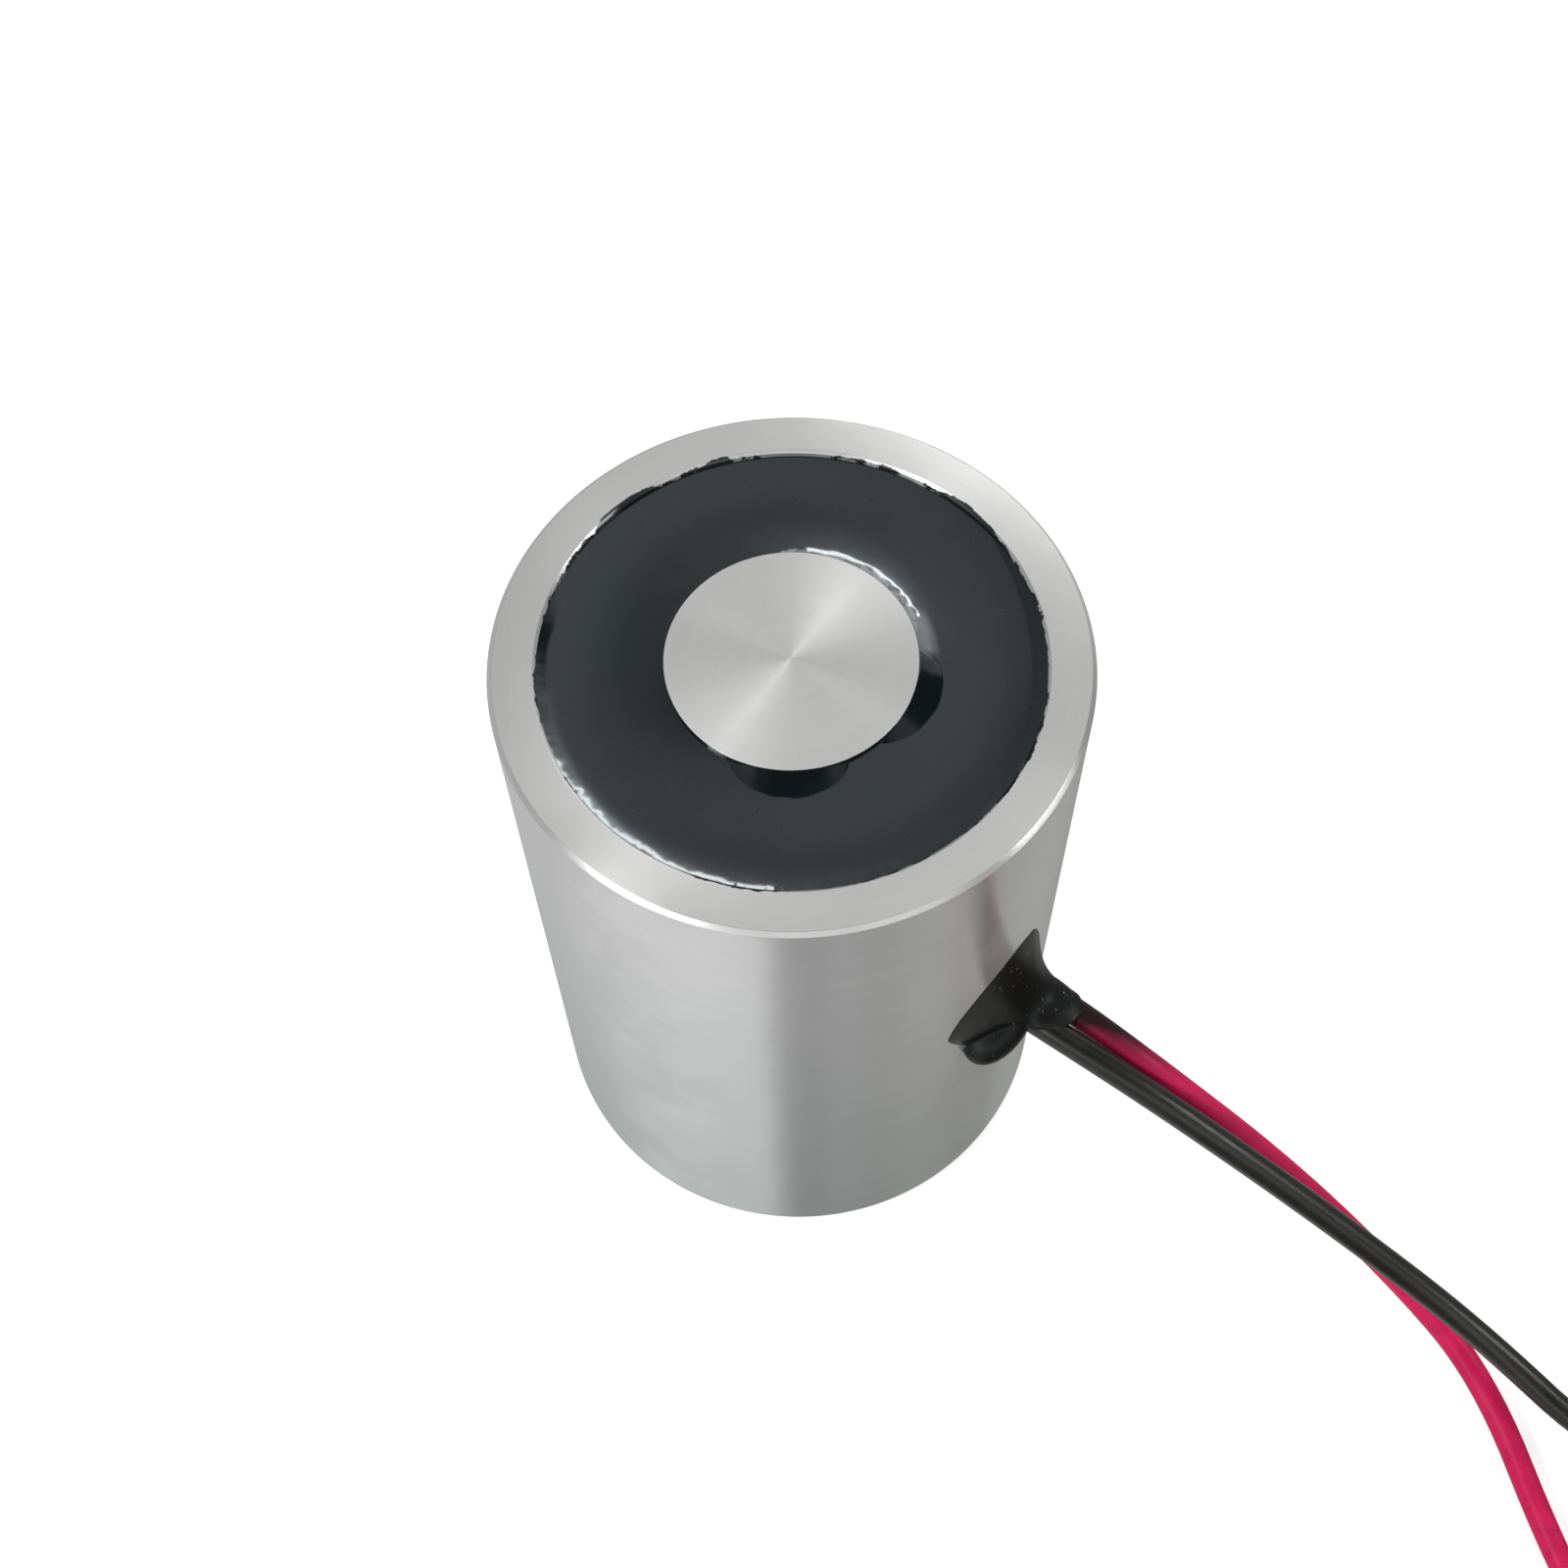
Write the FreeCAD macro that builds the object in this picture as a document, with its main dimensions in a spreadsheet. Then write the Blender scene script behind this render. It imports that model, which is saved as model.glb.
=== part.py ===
import FreeCAD, Part
import math
import os

import Sketcher
from FreeCAD import Placement, Rotation, Vector

# Round holding electromagnet with two flying leads, in millimetres.
# The underside of the pot is centred on the origin, +Z points out of the holding face,
# and the leads leave the wall of the pot along +X.

SIZES = [
    # pot and core, turned from bar
    ("shellDiameter", 25),
    ("shellHeight", 35),
    ("shellWall", 2),
    ("baseThickness", 5),
    ("edgeChamfer", 0.2),
    ("coreShare", 0.42),
    ("spigotStep", 1.25),
    ("coreChamfer", 0.1),
    # tapped mounting hole in the back of the core
    ("tapDrill", 3.3),
    ("tapDepth", 9),
    ("tapSinkDiameter", 4.4),
    ("drillPointAngle", 118),
    # bobbin and coil
    ("bobbinClearance", 0.1),
    ("bobbinBarrel", 0.7),
    ("bobbinFlange", 0.9),
    ("bobbinEdgeClearance", 0.2),
    ("slotWidth", 1.1),
    ("tapeThickness", 0.2),
    ("magnetWire", 0.3),
    ("tailInset", 0.3),
    ("finishTailDrop", 3),
    # casting resin
    ("faceRecess", 0.5),
    ("capDepth", 2.15),
    ("meniscusWidth", 1.6),
    ("meniscusRise", 0.3),
    # leads and their joints to the coil
    ("leadDiameter", 1.3),
    ("conductorDiameter", 0.5),
    ("conductorEase", 0.5),
    ("leadPitch", 1.5),
    ("leadHoleDiameter", 3.6),
    ("leadHoleHeight", 17.5),
    ("leadInset", 0.15),
    ("tipLength", 4),
    ("sleeveDiameter", 1.4),
    ("sleeveClearance", 0.1),
    ("sleeveOverlap", 1.2),
    ("solderDiameter", 0.9),
    ("solderLength", 3.5),
    ("solderRise", 3.1),
    ("solderTaper", 0.2),
    ("startSleeveDiameter", 0.7),
    ("startSleeveGap", 0.5),
    ("startSleeveTopGap", 1.05),
    # resin bead around the lead exit
    ("beadWidth", 7.4),
    ("beadHeight", 11.2),
    ("beadLength", 3.5),
    ("sagRadius", 1.6),
    ("sagProud", 1.45),
    ("sagOffset", 1.6),
    ("sagDrop", 0.6),
    # put away coil of each lead
    ("coilOuterTurn", 9.7),
    ("coilInnerTurn", 6.1),
    ("coilEntry", 5.5),
    ("coilStubEase", 0.01),
    ("tailRadius", 4.4),
    ("tailTurn", 100),
    ("tailStub", 2.85),
]

# Where the put away coils lie and how the leads run to them, chosen by hand.
COIL_CENTRE = (60.8, -0.75)
RED_HEADING = -33.0
BLACK_HEADING = 30.0
ENTRY_RUN = 5.4
RED_TAIL_AT = 131.0
BLACK_TAIL_AT = 226.0
RED_ROUTE = [
    (14.4, 0.75, 17.5),
    (19.6, 1.15, 15.5),
    (26.6, 2.9, 9.35),
    (33.6, 3.7, 3.45),
    (39.9, 2.55, 0.85),
]
BLACK_ROUTE = [
    (15.0, -0.75, 17.5),
    (21.4, 0.05, 15.25),
    (29.6, 1.65, 10.1),
    (38.0, 3.05, 4.55),
]
RED_LEVEL = 0.65
BLACK_LEVEL = 1.95

# Bead sections: distance along, offsets aside and above, then width and height, as shares of its sizes.
BEAD_SECTIONS = [
    (-0.37, -0.17, 0.085, 1.0, 1.0),
    (-0.09, -0.12, 0.095, 0.8, 0.87),
    (0.14, -0.06, 0.07, 0.56, 0.54),
    (0.37, 0.005, 0.016, 0.38, 0.29),
    (0.66, 0.068, -0.004, 0.26, 0.195),
    (1.0, 0.108, -0.045, 0.18, 0.137),
]

# Expressions that several pieces share.
SHELL_R = "Sizes.shellDiameter / 2"
BORE_R = "(Sizes.shellDiameter / 2 - Sizes.shellWall)"
CORE_R = "(Sizes.shellDiameter / 2 * Sizes.coreShare)"
SPIGOT_R = "(Sizes.shellDiameter / 2 * Sizes.coreShare - Sizes.spigotStep)"
BARREL_IN = "(" + CORE_R + " + Sizes.bobbinClearance)"
BARREL_OUT = "(" + CORE_R + " + Sizes.bobbinClearance + Sizes.bobbinBarrel)"
FLANGE_R = "(Sizes.shellDiameter / 2 - Sizes.shellWall - Sizes.bobbinEdgeClearance)"
TAPE_R = "(Sizes.shellDiameter / 2 - Sizes.shellWall - 2 * Sizes.sleeveClearance - Sizes.sleeveDiameter)"
COIL_R = "(" + TAPE_R + " - Sizes.tapeThickness)"
SPLICE_R = "(Sizes.shellDiameter / 2 - Sizes.shellWall - Sizes.sleeveClearance - Sizes.sleeveDiameter / 2)"
RESIN_Z = "(Sizes.shellHeight - Sizes.faceRecess)"
FLANGE_TOP = "(Sizes.shellHeight - Sizes.faceRecess - Sizes.capDepth)"
COIL_TOP = "(Sizes.shellHeight - Sizes.faceRecess - Sizes.capDepth - Sizes.bobbinFlange)"
COIL_BOTTOM = "(Sizes.baseThickness + Sizes.bobbinFlange)"
SPLICE_X = "sqrt((" + SPLICE_R + ") ^ 2 - (Sizes.leadPitch / 2) ^ 2)"
SOLDER_Z = "(Sizes.leadHoleHeight + Sizes.solderRise)"
POINT_DEPTH = "(Sizes.tapDrill / 2 / tan(Sizes.drillPointAngle / 2 * 1 deg))"

doc = FreeCAD.newDocument("HoldingElectromagnet")
sheet = doc.addObject("Spreadsheet::Sheet", "Sizes")
for row, (alias, value) in enumerate(SIZES, start=1):
    sheet.set("A%d" % row, alias)
    sheet.set("B%d" % row, str(value))
    sheet.setAlias("B%d" % row, alias)
doc.recompute()

nodes = {}


def value_of(expression):
    """The number that an expression of the sheet's sizes gives now."""
    result = sheet.evalExpression(expression)
    return float(getattr(result, "Value", result))


def keep(obj, label):
    """Register the object as the sub-part that is written under this label."""
    obj.Label = label
    nodes[label] = obj
    return obj


def origin_plane(body, role):
    for feature in body.Origin.OriginFeatures:
        if feature.Role == role:
            return feature
    raise RuntimeError("no plane " + role)


def sketch_on(body, name, role):
    sketch = body.newObject("Sketcher::SketchObject", name)
    sketch.AttachmentSupport = [(origin_plane(body, role), "")]
    sketch.MapMode = "FlatFace"
    doc.recompute()
    return sketch


def pin_point(sketch, geometry, point, across, up):
    """Hold a point of the sketch at the two expressions."""
    for kind, axis, expression in (("DistanceX", -2, across), ("DistanceY", -1, up)):
        if expression == "0":
            sketch.addConstraint(Sketcher.Constraint("PointOnObject", geometry, point, axis))
            continue
        constraint = Sketcher.Constraint(kind, -1, 1, geometry, point, value_of(expression))
        index = sketch.addConstraint(constraint)
        sketch.setExpression("Constraints[%d]" % index, expression)


def draw_outline(sketch, corners):
    """Closed outline of (across, up) corners, each held at its two expressions."""
    places = [Vector(value_of(across), value_of(up), 0) for across, up in corners]
    sides = []
    for here, there in zip(places, places[1:] + places[:1]):
        sides.append(sketch.addGeometry(Part.LineSegment(here, there)))
    for before, after, corner in zip(sides[-1:] + sides[:-1], sides, corners):
        sketch.addConstraint(Sketcher.Constraint("Coincident", before, 2, after, 1))
        pin_point(sketch, after, 1, corner[0], corner[1])


def turned(label, corners):
    """A body turned about Z from its half section."""
    body = doc.addObject("PartDesign::Body", label + "_body")
    sketch = sketch_on(body, label + "_section", "XZ_Plane")
    draw_outline(sketch, corners)
    revolution = body.newObject("PartDesign::Revolution", label + "_revolution")
    revolution.Profile = sketch
    revolution.ReferenceAxis = (sketch, ["V_Axis"])
    revolution.Angle = 360
    doc.recompute()
    return body


def cylinder(name, radius, height, at, axis=Vector(0, 0, 1)):
    """A cylinder whose radius, height and foot (three expressions) follow the sheet."""
    obj = doc.addObject("Part::Cylinder", name)
    obj.setExpression("Radius", radius)
    obj.setExpression("Height", height)
    obj.Placement = Placement(Vector(), Rotation(Vector(0, 0, 1), axis))
    for way, expression in zip("xyz", at):
        obj.setExpression("Placement.Base." + way, expression)
    return obj


def cut(name, base, tools):
    """The base less each tool in turn."""
    result = base
    for number, tool in enumerate(tools, start=1):
        step = doc.addObject("Part::Cut", "%s_cut_%d" % (name, number))
        step.Base = result
        step.Tool = tool
        result = step
    doc.recompute()
    return result


def fuse(name, shapes):
    result = doc.addObject("Part::MultiFuse", name)
    result.Shapes = shapes
    result.Refine = True
    doc.recompute()
    return result


def rounded_wire(points):
    """Straight runs joined by tangent arcs as large as the runs allow, and the radii."""
    points = [Vector(*p) for p in points]
    edges = []
    radii = []
    cursor = points[0]
    for before, corner, after in zip(points, points[1:], points[2:]):
        back = (before - corner).normalize()
        ahead = (after - corner).normalize()
        half_turn = (math.pi - back.getAngle(ahead)) / 2
        shorter = min(corner.distanceToPoint(before), corner.distanceToPoint(after))
        radius = 0.45 * shorter / math.tan(half_turn)
        reach = radius * math.tan(half_turn)
        first = corner + back * reach
        last = corner + ahead * reach
        middle_way = (back + ahead).normalize()
        middle = corner + middle_way * (radius / math.cos(half_turn) - radius)
        edges.append(Part.LineSegment(cursor, first).toShape())
        edges.append(Part.Arc(first, middle, last).toShape())
        cursor = last
        radii.append(radius)
    edges.append(Part.LineSegment(cursor, points[-1]).toShape())
    return Part.Wire(edges), radii


def eased_wire(points, ease):
    """Straight runs whose corners are crossed by a short slanting run."""
    points = [Vector(*p) for p in points]
    way = [points[0]]
    for before, corner, after in zip(points, points[1:], points[2:]):
        if ease == 0:
            way.append(corner)
            continue
        way.append(corner + (before - corner).normalize() * ease)
        way.append(corner + (after - corner).normalize() * ease)
    way.append(points[-1])
    return Part.makePolygon(way)


def bar_object(name, wire, diameter):
    """A round bar of that diameter along the wire, mitred where the wire has a corner."""
    start = wire.Edges[0]
    tangent = start.tangentAt(start.FirstParameter)
    section = Part.Wire(Part.makeCircle(diameter / 2, start.Vertexes[0].Point, tangent))
    bar = wire.makePipeShell([section], True, True, 1)
    expected = math.pi * diameter ** 2 / 4 * wire.Length
    if abs(bar.Volume - expected) > 0.01 * expected:
        raise RuntimeError("a bar's volume is not its section times its length")
    obj = doc.addObject("Part::Feature", name)
    obj.Shape = bar
    obj.Placement = Placement()
    return obj


def make_shell():
    """Steel pot turned from bar, with the drilled hole for the leads."""
    body = turned("shell", [
        (SPIGOT_R, "0"),
        (SHELL_R + " - Sizes.edgeChamfer", "0"),
        (SHELL_R, "Sizes.edgeChamfer"),
        (SHELL_R, "Sizes.shellHeight - Sizes.edgeChamfer"),
        (SHELL_R + " - Sizes.edgeChamfer", "Sizes.shellHeight"),
        (BORE_R, "Sizes.shellHeight"),
        (BORE_R, "Sizes.baseThickness"),
        (SPIGOT_R, "Sizes.baseThickness"),
    ])
    before = body.Shape.Volume
    sketch = sketch_on(body, "lead_hole_sketch", "YZ_Plane")
    circle = Part.Circle(Vector(0, value_of("Sizes.leadHoleHeight"), 0), Vector(0, 0, 1),
                         value_of("Sizes.leadHoleDiameter / 2"))
    hole = sketch.addGeometry(circle)
    pin_point(sketch, hole, 3, "0", "Sizes.leadHoleHeight")
    radius = sketch.addConstraint(
        Sketcher.Constraint("Radius", hole, value_of("Sizes.leadHoleDiameter / 2")))
    sketch.setExpression("Constraints[%d]" % radius, "Sizes.leadHoleDiameter / 2")
    pocket = body.newObject("PartDesign::Pocket", "lead_hole")
    pocket.Profile = sketch
    pocket.setExpression("Length", SHELL_R)
    pocket.Reversed = True
    doc.recompute()
    one_wall = math.pi * value_of("Sizes.leadHoleDiameter / 2") ** 2 * value_of("Sizes.shellWall")
    removed = before - body.Shape.Volume
    if not one_wall / 2 < removed < one_wall * 3 / 2:
        raise RuntimeError("the lead hole is not through one wall only")
    return keep(body, "shell")


def make_core():
    """Steel core whose spigot is pressed into the base, tapped from the back."""
    point_z = "Sizes.tapDepth + " + POINT_DEPTH
    sink_depth = "(Sizes.tapSinkDiameter - Sizes.tapDrill) / 2"
    body = turned("core", [
        ("0", point_z),
        ("Sizes.tapDrill / 2", "Sizes.tapDepth"),
        ("Sizes.tapDrill / 2", sink_depth),
        ("Sizes.tapSinkDiameter / 2", "0"),
        (SPIGOT_R, "0"),
        (SPIGOT_R, "Sizes.baseThickness"),
        (CORE_R, "Sizes.baseThickness"),
        (CORE_R, "Sizes.shellHeight - Sizes.coreChamfer"),
        (CORE_R + " - Sizes.coreChamfer", "Sizes.shellHeight"),
        ("0", "Sizes.shellHeight"),
    ])
    return keep(body, "core")


def make_bobbin():
    """Moulded bobbin that stands on the pot's floor, with a slot for the start wire."""
    body = turned("bobbin", [
        (BARREL_IN, "Sizes.baseThickness"),
        (FLANGE_R, "Sizes.baseThickness"),
        (FLANGE_R, COIL_BOTTOM),
        (BARREL_OUT, COIL_BOTTOM),
        (BARREL_OUT, COIL_TOP),
        (FLANGE_R, COIL_TOP),
        (FLANGE_R, FLANGE_TOP),
        (BARREL_IN, FLANGE_TOP),
    ])
    slot = doc.addObject("Part::Box", "start_slot")
    slot.setExpression("Length", FLANGE_R)
    slot.setExpression("Width", "Sizes.slotWidth")
    slot.setExpression("Height", "Sizes.bobbinFlange")
    slot.setExpression("Placement.Base.x", BARREL_OUT)
    slot.setExpression("Placement.Base.y", "Sizes.leadPitch / 2 - Sizes.slotWidth / 2")
    slot.setExpression("Placement.Base.z", COIL_TOP)
    return keep(cut("bobbin", body, [slot]), "bobbin")


def tail_points(side, inside, height):
    """Corners of a magnet wire tail from the coil, out to its splice and down to it."""
    across = side * value_of("Sizes.leadPitch / 2")
    splice = value_of(SPLICE_X)
    joint = value_of(SOLDER_Z + " + Sizes.solderLength")
    return [(inside, across, height), (splice, across, height), (splice, across, joint)]


def make_winding():
    """Copper coil on the bobbin, with its start and finish tails."""
    turns = turned("turns", [
        (BARREL_OUT, COIL_BOTTOM),
        (COIL_R, COIL_BOTTOM),
        (COIL_R, COIL_TOP),
        (BARREL_OUT, COIL_TOP),
    ])
    wire = value_of("Sizes.magnetWire")
    inner_layer = value_of(BARREL_OUT + " + Sizes.tailInset")
    outer_layer = value_of(COIL_R + " - Sizes.tailInset")
    start = tail_points(1, inner_layer, value_of(COIL_TOP + " + Sizes.bobbinFlange / 2"))
    start.insert(0, (inner_layer, start[0][1], value_of(COIL_TOP + " - Sizes.tailInset")))
    start_tail = bar_object("start_tail", eased_wire(start, 0), wire)
    finish = tail_points(-1, outer_layer, value_of(COIL_TOP + " - Sizes.finishTailDrop"))
    finish_tail = bar_object("finish_tail", eased_wire(finish, 0), wire)
    return keep(fuse("winding_turns_and_tails", [turns, start_tail, finish_tail]), "winding")


def make_tape(winding):
    """One wrap of tape round the coil."""
    body = turned("tape", [
        (COIL_R, COIL_BOTTOM),
        (TAPE_R, COIL_BOTTOM),
        (TAPE_R, COIL_TOP),
        (COIL_R, COIL_TOP),
    ])
    return keep(cut("tape", body, [winding]), "winding_tape")


def make_splice(colour, side, winding):
    """Stripped conductor, soldered joint and shrunk sleeve that join one lead to the coil."""
    across = "%d * Sizes.leadPitch / 2" % side
    y = value_of(across)
    splice = value_of(SPLICE_X)
    level = value_of("Sizes.leadHoleHeight")
    end = value_of(BORE_R + " - Sizes.leadInset")
    points = [(end, y, level), (splice, y, level), (splice, y, value_of(SOLDER_Z))]
    way = eased_wire(points, value_of("Sizes.conductorEase"))
    conductor = bar_object(colour + "_conductor", way, value_of("Sizes.conductorDiameter"))
    keep(conductor, colour + "_conductor_inner")
    blank = cylinder(colour + "_solder_blank", "Sizes.solderDiameter / 2", "Sizes.solderLength",
                     (SPLICE_X, across, SOLDER_Z))
    doc.recompute()
    solder = doc.addObject("Part::Chamfer", colour + "_solder")
    solder.Base = blank
    rims = [i for i, e in enumerate(blank.Shape.Edges, start=1) if len(e.Vertexes) == 1]
    taper = min(value_of("Sizes.solderTaper"), value_of("Sizes.solderDiameter / 4"))
    solder.Edges = [(i, taper, taper) for i in rims]
    doc.recompute()
    keep(solder, colour + "_solder_joint")
    length = "Sizes.solderLength + 2 * Sizes.sleeveOverlap"
    foot = SOLDER_Z + " - Sizes.sleeveOverlap"
    blank = cylinder(colour + "_sleeve_blank", "Sizes.sleeveDiameter / 2", length, (SPLICE_X, across, foot))
    keep(cut(colour + "_sleeve", blank, [solder, conductor, winding]), colour + "_splice_sleeve")


def make_start_sleeve():
    """Sleeving on the start wire where it passes the outer layers of the coil."""
    foot = SOLDER_Z + " + Sizes.solderLength + Sizes.sleeveOverlap + Sizes.startSleeveGap"
    length = COIL_TOP + " - Sizes.startSleeveTopGap - (" + foot + ")"
    at = (SPLICE_X, "Sizes.leadPitch / 2", foot)
    outside = cylinder("start_sleeve_outside", "Sizes.startSleeveDiameter / 2", length, at)
    inside = cylinder("start_sleeve_inside", "Sizes.magnetWire / 2", length, at)
    return keep(cut("start_sleeve", outside, [inside]), "start_wire_sleeve")


def unit(degrees):
    return Vector(math.cos(math.radians(degrees)), math.sin(math.radians(degrees)), 0)


def lead_route(colour):
    """Points of a lead from inside the wall to its put away coil."""
    side, heading, level, free, turn = {
        "red": (1, RED_HEADING, RED_LEVEL, RED_ROUTE, 1),
        "black": (-1, BLACK_HEADING, BLACK_LEVEL, BLACK_ROUTE, -1),
    }[colour]
    start = (value_of(BORE_R + " - Sizes.leadInset"), side * value_of("Sizes.leadPitch / 2"),
             value_of("Sizes.leadHoleHeight"))
    ahead = unit(heading)
    touch = Vector(*COIL_CENTRE, level) + unit(heading - turn * 90) * value_of("Sizes.coilOuterTurn")
    last = touch - ahead * value_of("Sizes.coilEntry")
    corner = last - ahead * ENTRY_RUN
    return [start] + free + [tuple(corner), tuple(last)], last, ahead, turn, level


def make_lead(colour, tail_at):
    """One insulated lead: the free tube, its put away coil and its bare end."""
    diameter = value_of("Sizes.leadDiameter")
    route, last, ahead, turn, level = lead_route(colour)
    way, radii = rounded_wire(route)
    keep(bar_object(colour + "_tube", way, diameter), colour + "_lead")
    print(colour, "lead: length %.1f, radii" % way.Length, " ".join("%.1f" % r for r in radii))

    centre = Vector(*COIL_CENTRE, level)
    foot = [str(centre.x), str(centre.y), str(level - diameter / 2)]
    outside = cylinder(colour + "_coil_outside", "Sizes.coilOuterTurn + Sizes.leadDiameter / 2",
                       "Sizes.leadDiameter", foot)
    inside = cylinder(colour + "_coil_inside", "Sizes.coilInnerTurn - Sizes.leadDiameter / 2",
                      "Sizes.leadDiameter", foot)
    ring = cut(colour + "_ring", outside, [inside])
    entry = cylinder(colour + "_coil_entry", "Sizes.leadDiameter / 2 - Sizes.coilStubEase", "Sizes.coilEntry",
                     [str(w) for w in last], ahead)
    tail_radius = value_of("Sizes.tailRadius")
    tail_centre = centre + unit(tail_at) * (value_of("Sizes.coilInnerTurn") - tail_radius)
    end_angle = tail_at + turn * value_of("Sizes.tailTurn")
    tip_at = tail_centre + unit(end_angle) * tail_radius
    tip_way = unit(end_angle + turn * 90)
    stub_at = tip_at - tip_way * value_of("Sizes.tailStub")
    stub = cylinder(colour + "_coil_stub", "Sizes.leadDiameter / 2 - Sizes.coilStubEase", "Sizes.tailStub",
                    [str(w) for w in stub_at], tip_way)
    keep(fuse(colour + "_coil", [ring, entry, stub]), colour + "_lead_coil")
    tip = cylinder(colour + "_tip", "Sizes.conductorDiameter / 2", "Sizes.tipLength",
                   [str(w) for w in tip_at], tip_way)
    keep(tip, colour + "_conductor_tip")


def make_bead(shell, leads):
    """Resin bead at the lead exit: a flare that hugs the pot and thins out along the leads."""
    sections = []
    for number, (along, aside, above, wide, high) in enumerate(BEAD_SECTIONS):
        ellipse = doc.addObject("Part::Ellipse", "bead_section_%d" % number)
        ellipse.setExpression("MajorRadius", "Sizes.beadHeight * %s / 2" % high)
        ellipse.setExpression("MinorRadius", "Sizes.beadWidth * %s / 2" % wide)
        ellipse.Placement = Placement(Vector(), Rotation(Vector(0, 0, -1), Vector(0, 1, 0), Vector(1, 0, 0), "ZYX"))
        ellipse.setExpression("Placement.Base.x", SHELL_R + " + Sizes.beadLength * %s" % along)
        ellipse.setExpression("Placement.Base.y", "Sizes.beadWidth * %s" % aside)
        ellipse.setExpression("Placement.Base.z", "Sizes.leadHoleHeight + Sizes.beadHeight * %s" % above)
        sections.append(ellipse)
    flare = doc.addObject("Part::Loft", "bead_flare")
    flare.Sections = sections
    flare.Solid = True
    flare.Ruled = True
    sag = doc.addObject("Part::Sphere", "bead_sag")
    sag.setExpression("Radius", "Sizes.sagRadius")
    sag.setExpression("Placement.Base.x", SHELL_R + " + Sizes.sagProud - Sizes.sagRadius")
    sag.setExpression("Placement.Base.y", "-Sizes.sagOffset")
    sag.setExpression("Placement.Base.z", "Sizes.leadHoleHeight - Sizes.sagDrop")
    plug = cylinder("bead_plug", "Sizes.leadHoleDiameter / 2", "Sizes.beadLength / 2 + Sizes.shellWall",
                    (BORE_R + " - Sizes.shellWall / 2", "0", "Sizes.leadHoleHeight"), Vector(1, 0, 0))
    doc.recompute()
    blank = fuse("bead_blank", [flare, sag, plug])
    bore = cylinder("bead_bore", BORE_R, "Sizes.shellHeight", ("0", "0", "0"))
    return keep(cut("bead", blank, [shell, bore] + leads), "lead_exit_seal")


def make_potting(buried):
    """Cast resin that fills the pot round every buried piece, with a dished open face."""
    body = turned("resin", [
        (CORE_R, FLANGE_TOP),
        (BARREL_IN, FLANGE_TOP),
        (BARREL_IN, "Sizes.baseThickness"),
        (BORE_R, "Sizes.baseThickness"),
        (BORE_R, RESIN_Z + " + Sizes.meniscusRise"),
        (BORE_R + " - Sizes.meniscusWidth", RESIN_Z),
        (CORE_R + " + Sizes.meniscusWidth", RESIN_Z),
        (CORE_R, RESIN_Z + " + Sizes.meniscusRise"),
    ])
    return keep(cut("resin", body, buried), "potting")


shell = make_shell()
core = make_core()
bobbin = make_bobbin()
winding = make_winding()
tape = make_tape(winding)
make_splice("red", 1, winding)
make_splice("black", -1, winding)
make_start_sleeve()
make_lead("red", RED_TAIL_AT)
make_lead("black", BLACK_TAIL_AT)
make_bead(shell, [nodes["red_lead"], nodes["black_lead"]])
inner_labels = ["red_splice_sleeve", "black_splice_sleeve", "start_wire_sleeve", "red_solder_joint",
                "black_solder_joint", "red_conductor_inner", "black_conductor_inner", "red_lead", "black_lead"]
make_potting([core, bobbin, winding, tape] + [nodes[label] for label in inner_labels])
doc.recompute()

for obj in doc.Objects:
    if "Invalid" in obj.State or "Error" in obj.State:
        raise RuntimeError("%s is %s" % (obj.Label, obj.State))
for label, obj in nodes.items():
    if obj.Shape.isNull() or not obj.Shape.isValid() or len(obj.Shape.Solids) != 1:
        raise RuntimeError("%s is not one valid solid" % label)

os.makedirs("parts", exist_ok=True)
for label, obj in sorted(nodes.items()):
    obj.Shape.exportStep("parts/%s.step" % label)
    print("%-24s volume %9.2f" % (label, obj.Shape.Volume))
print(len(nodes), "sub-parts written")
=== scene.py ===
import math

import bmesh
import bpy
from mathutils import Matrix, Vector, noise


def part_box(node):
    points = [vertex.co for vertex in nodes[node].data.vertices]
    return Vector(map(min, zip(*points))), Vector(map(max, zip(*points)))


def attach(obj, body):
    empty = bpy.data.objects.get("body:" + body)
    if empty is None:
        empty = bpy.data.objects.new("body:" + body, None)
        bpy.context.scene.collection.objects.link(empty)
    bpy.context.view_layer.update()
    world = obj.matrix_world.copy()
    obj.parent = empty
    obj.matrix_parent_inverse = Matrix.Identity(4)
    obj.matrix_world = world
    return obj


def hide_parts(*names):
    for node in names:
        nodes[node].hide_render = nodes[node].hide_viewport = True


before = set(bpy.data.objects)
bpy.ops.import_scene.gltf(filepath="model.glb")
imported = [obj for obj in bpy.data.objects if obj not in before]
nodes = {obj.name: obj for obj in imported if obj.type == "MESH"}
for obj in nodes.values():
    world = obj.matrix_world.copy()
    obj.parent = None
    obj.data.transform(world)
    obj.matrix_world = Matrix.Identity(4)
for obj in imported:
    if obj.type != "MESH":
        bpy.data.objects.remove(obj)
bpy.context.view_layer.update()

# Round holding electromagnet with two flying leads.
# Lengths are in metres, unless a comment or a docstring says millimetres. The frame is the CAD
# model's: the back of the pot is centred on the origin, +Z points out of the holding face and the
# leads leave the wall along +X.

MM = 0.001

# Sizes that the CAD nodes give.
SHELL_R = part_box("shell")[1][0]
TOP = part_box("shell")[1][2]
CORE_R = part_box("core")[1][0]
BORE_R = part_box("potting")[1][0]
FLOOR_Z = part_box("potting")[0][2]
TAPE_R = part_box("winding_tape")[1][0]
COIL_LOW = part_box("winding_tape")[0][2]
COIL_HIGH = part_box("winding_tape")[1][2]
FLANGE_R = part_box("bobbin")[1][0]
FLANGE_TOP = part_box("bobbin")[1][2]

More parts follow.
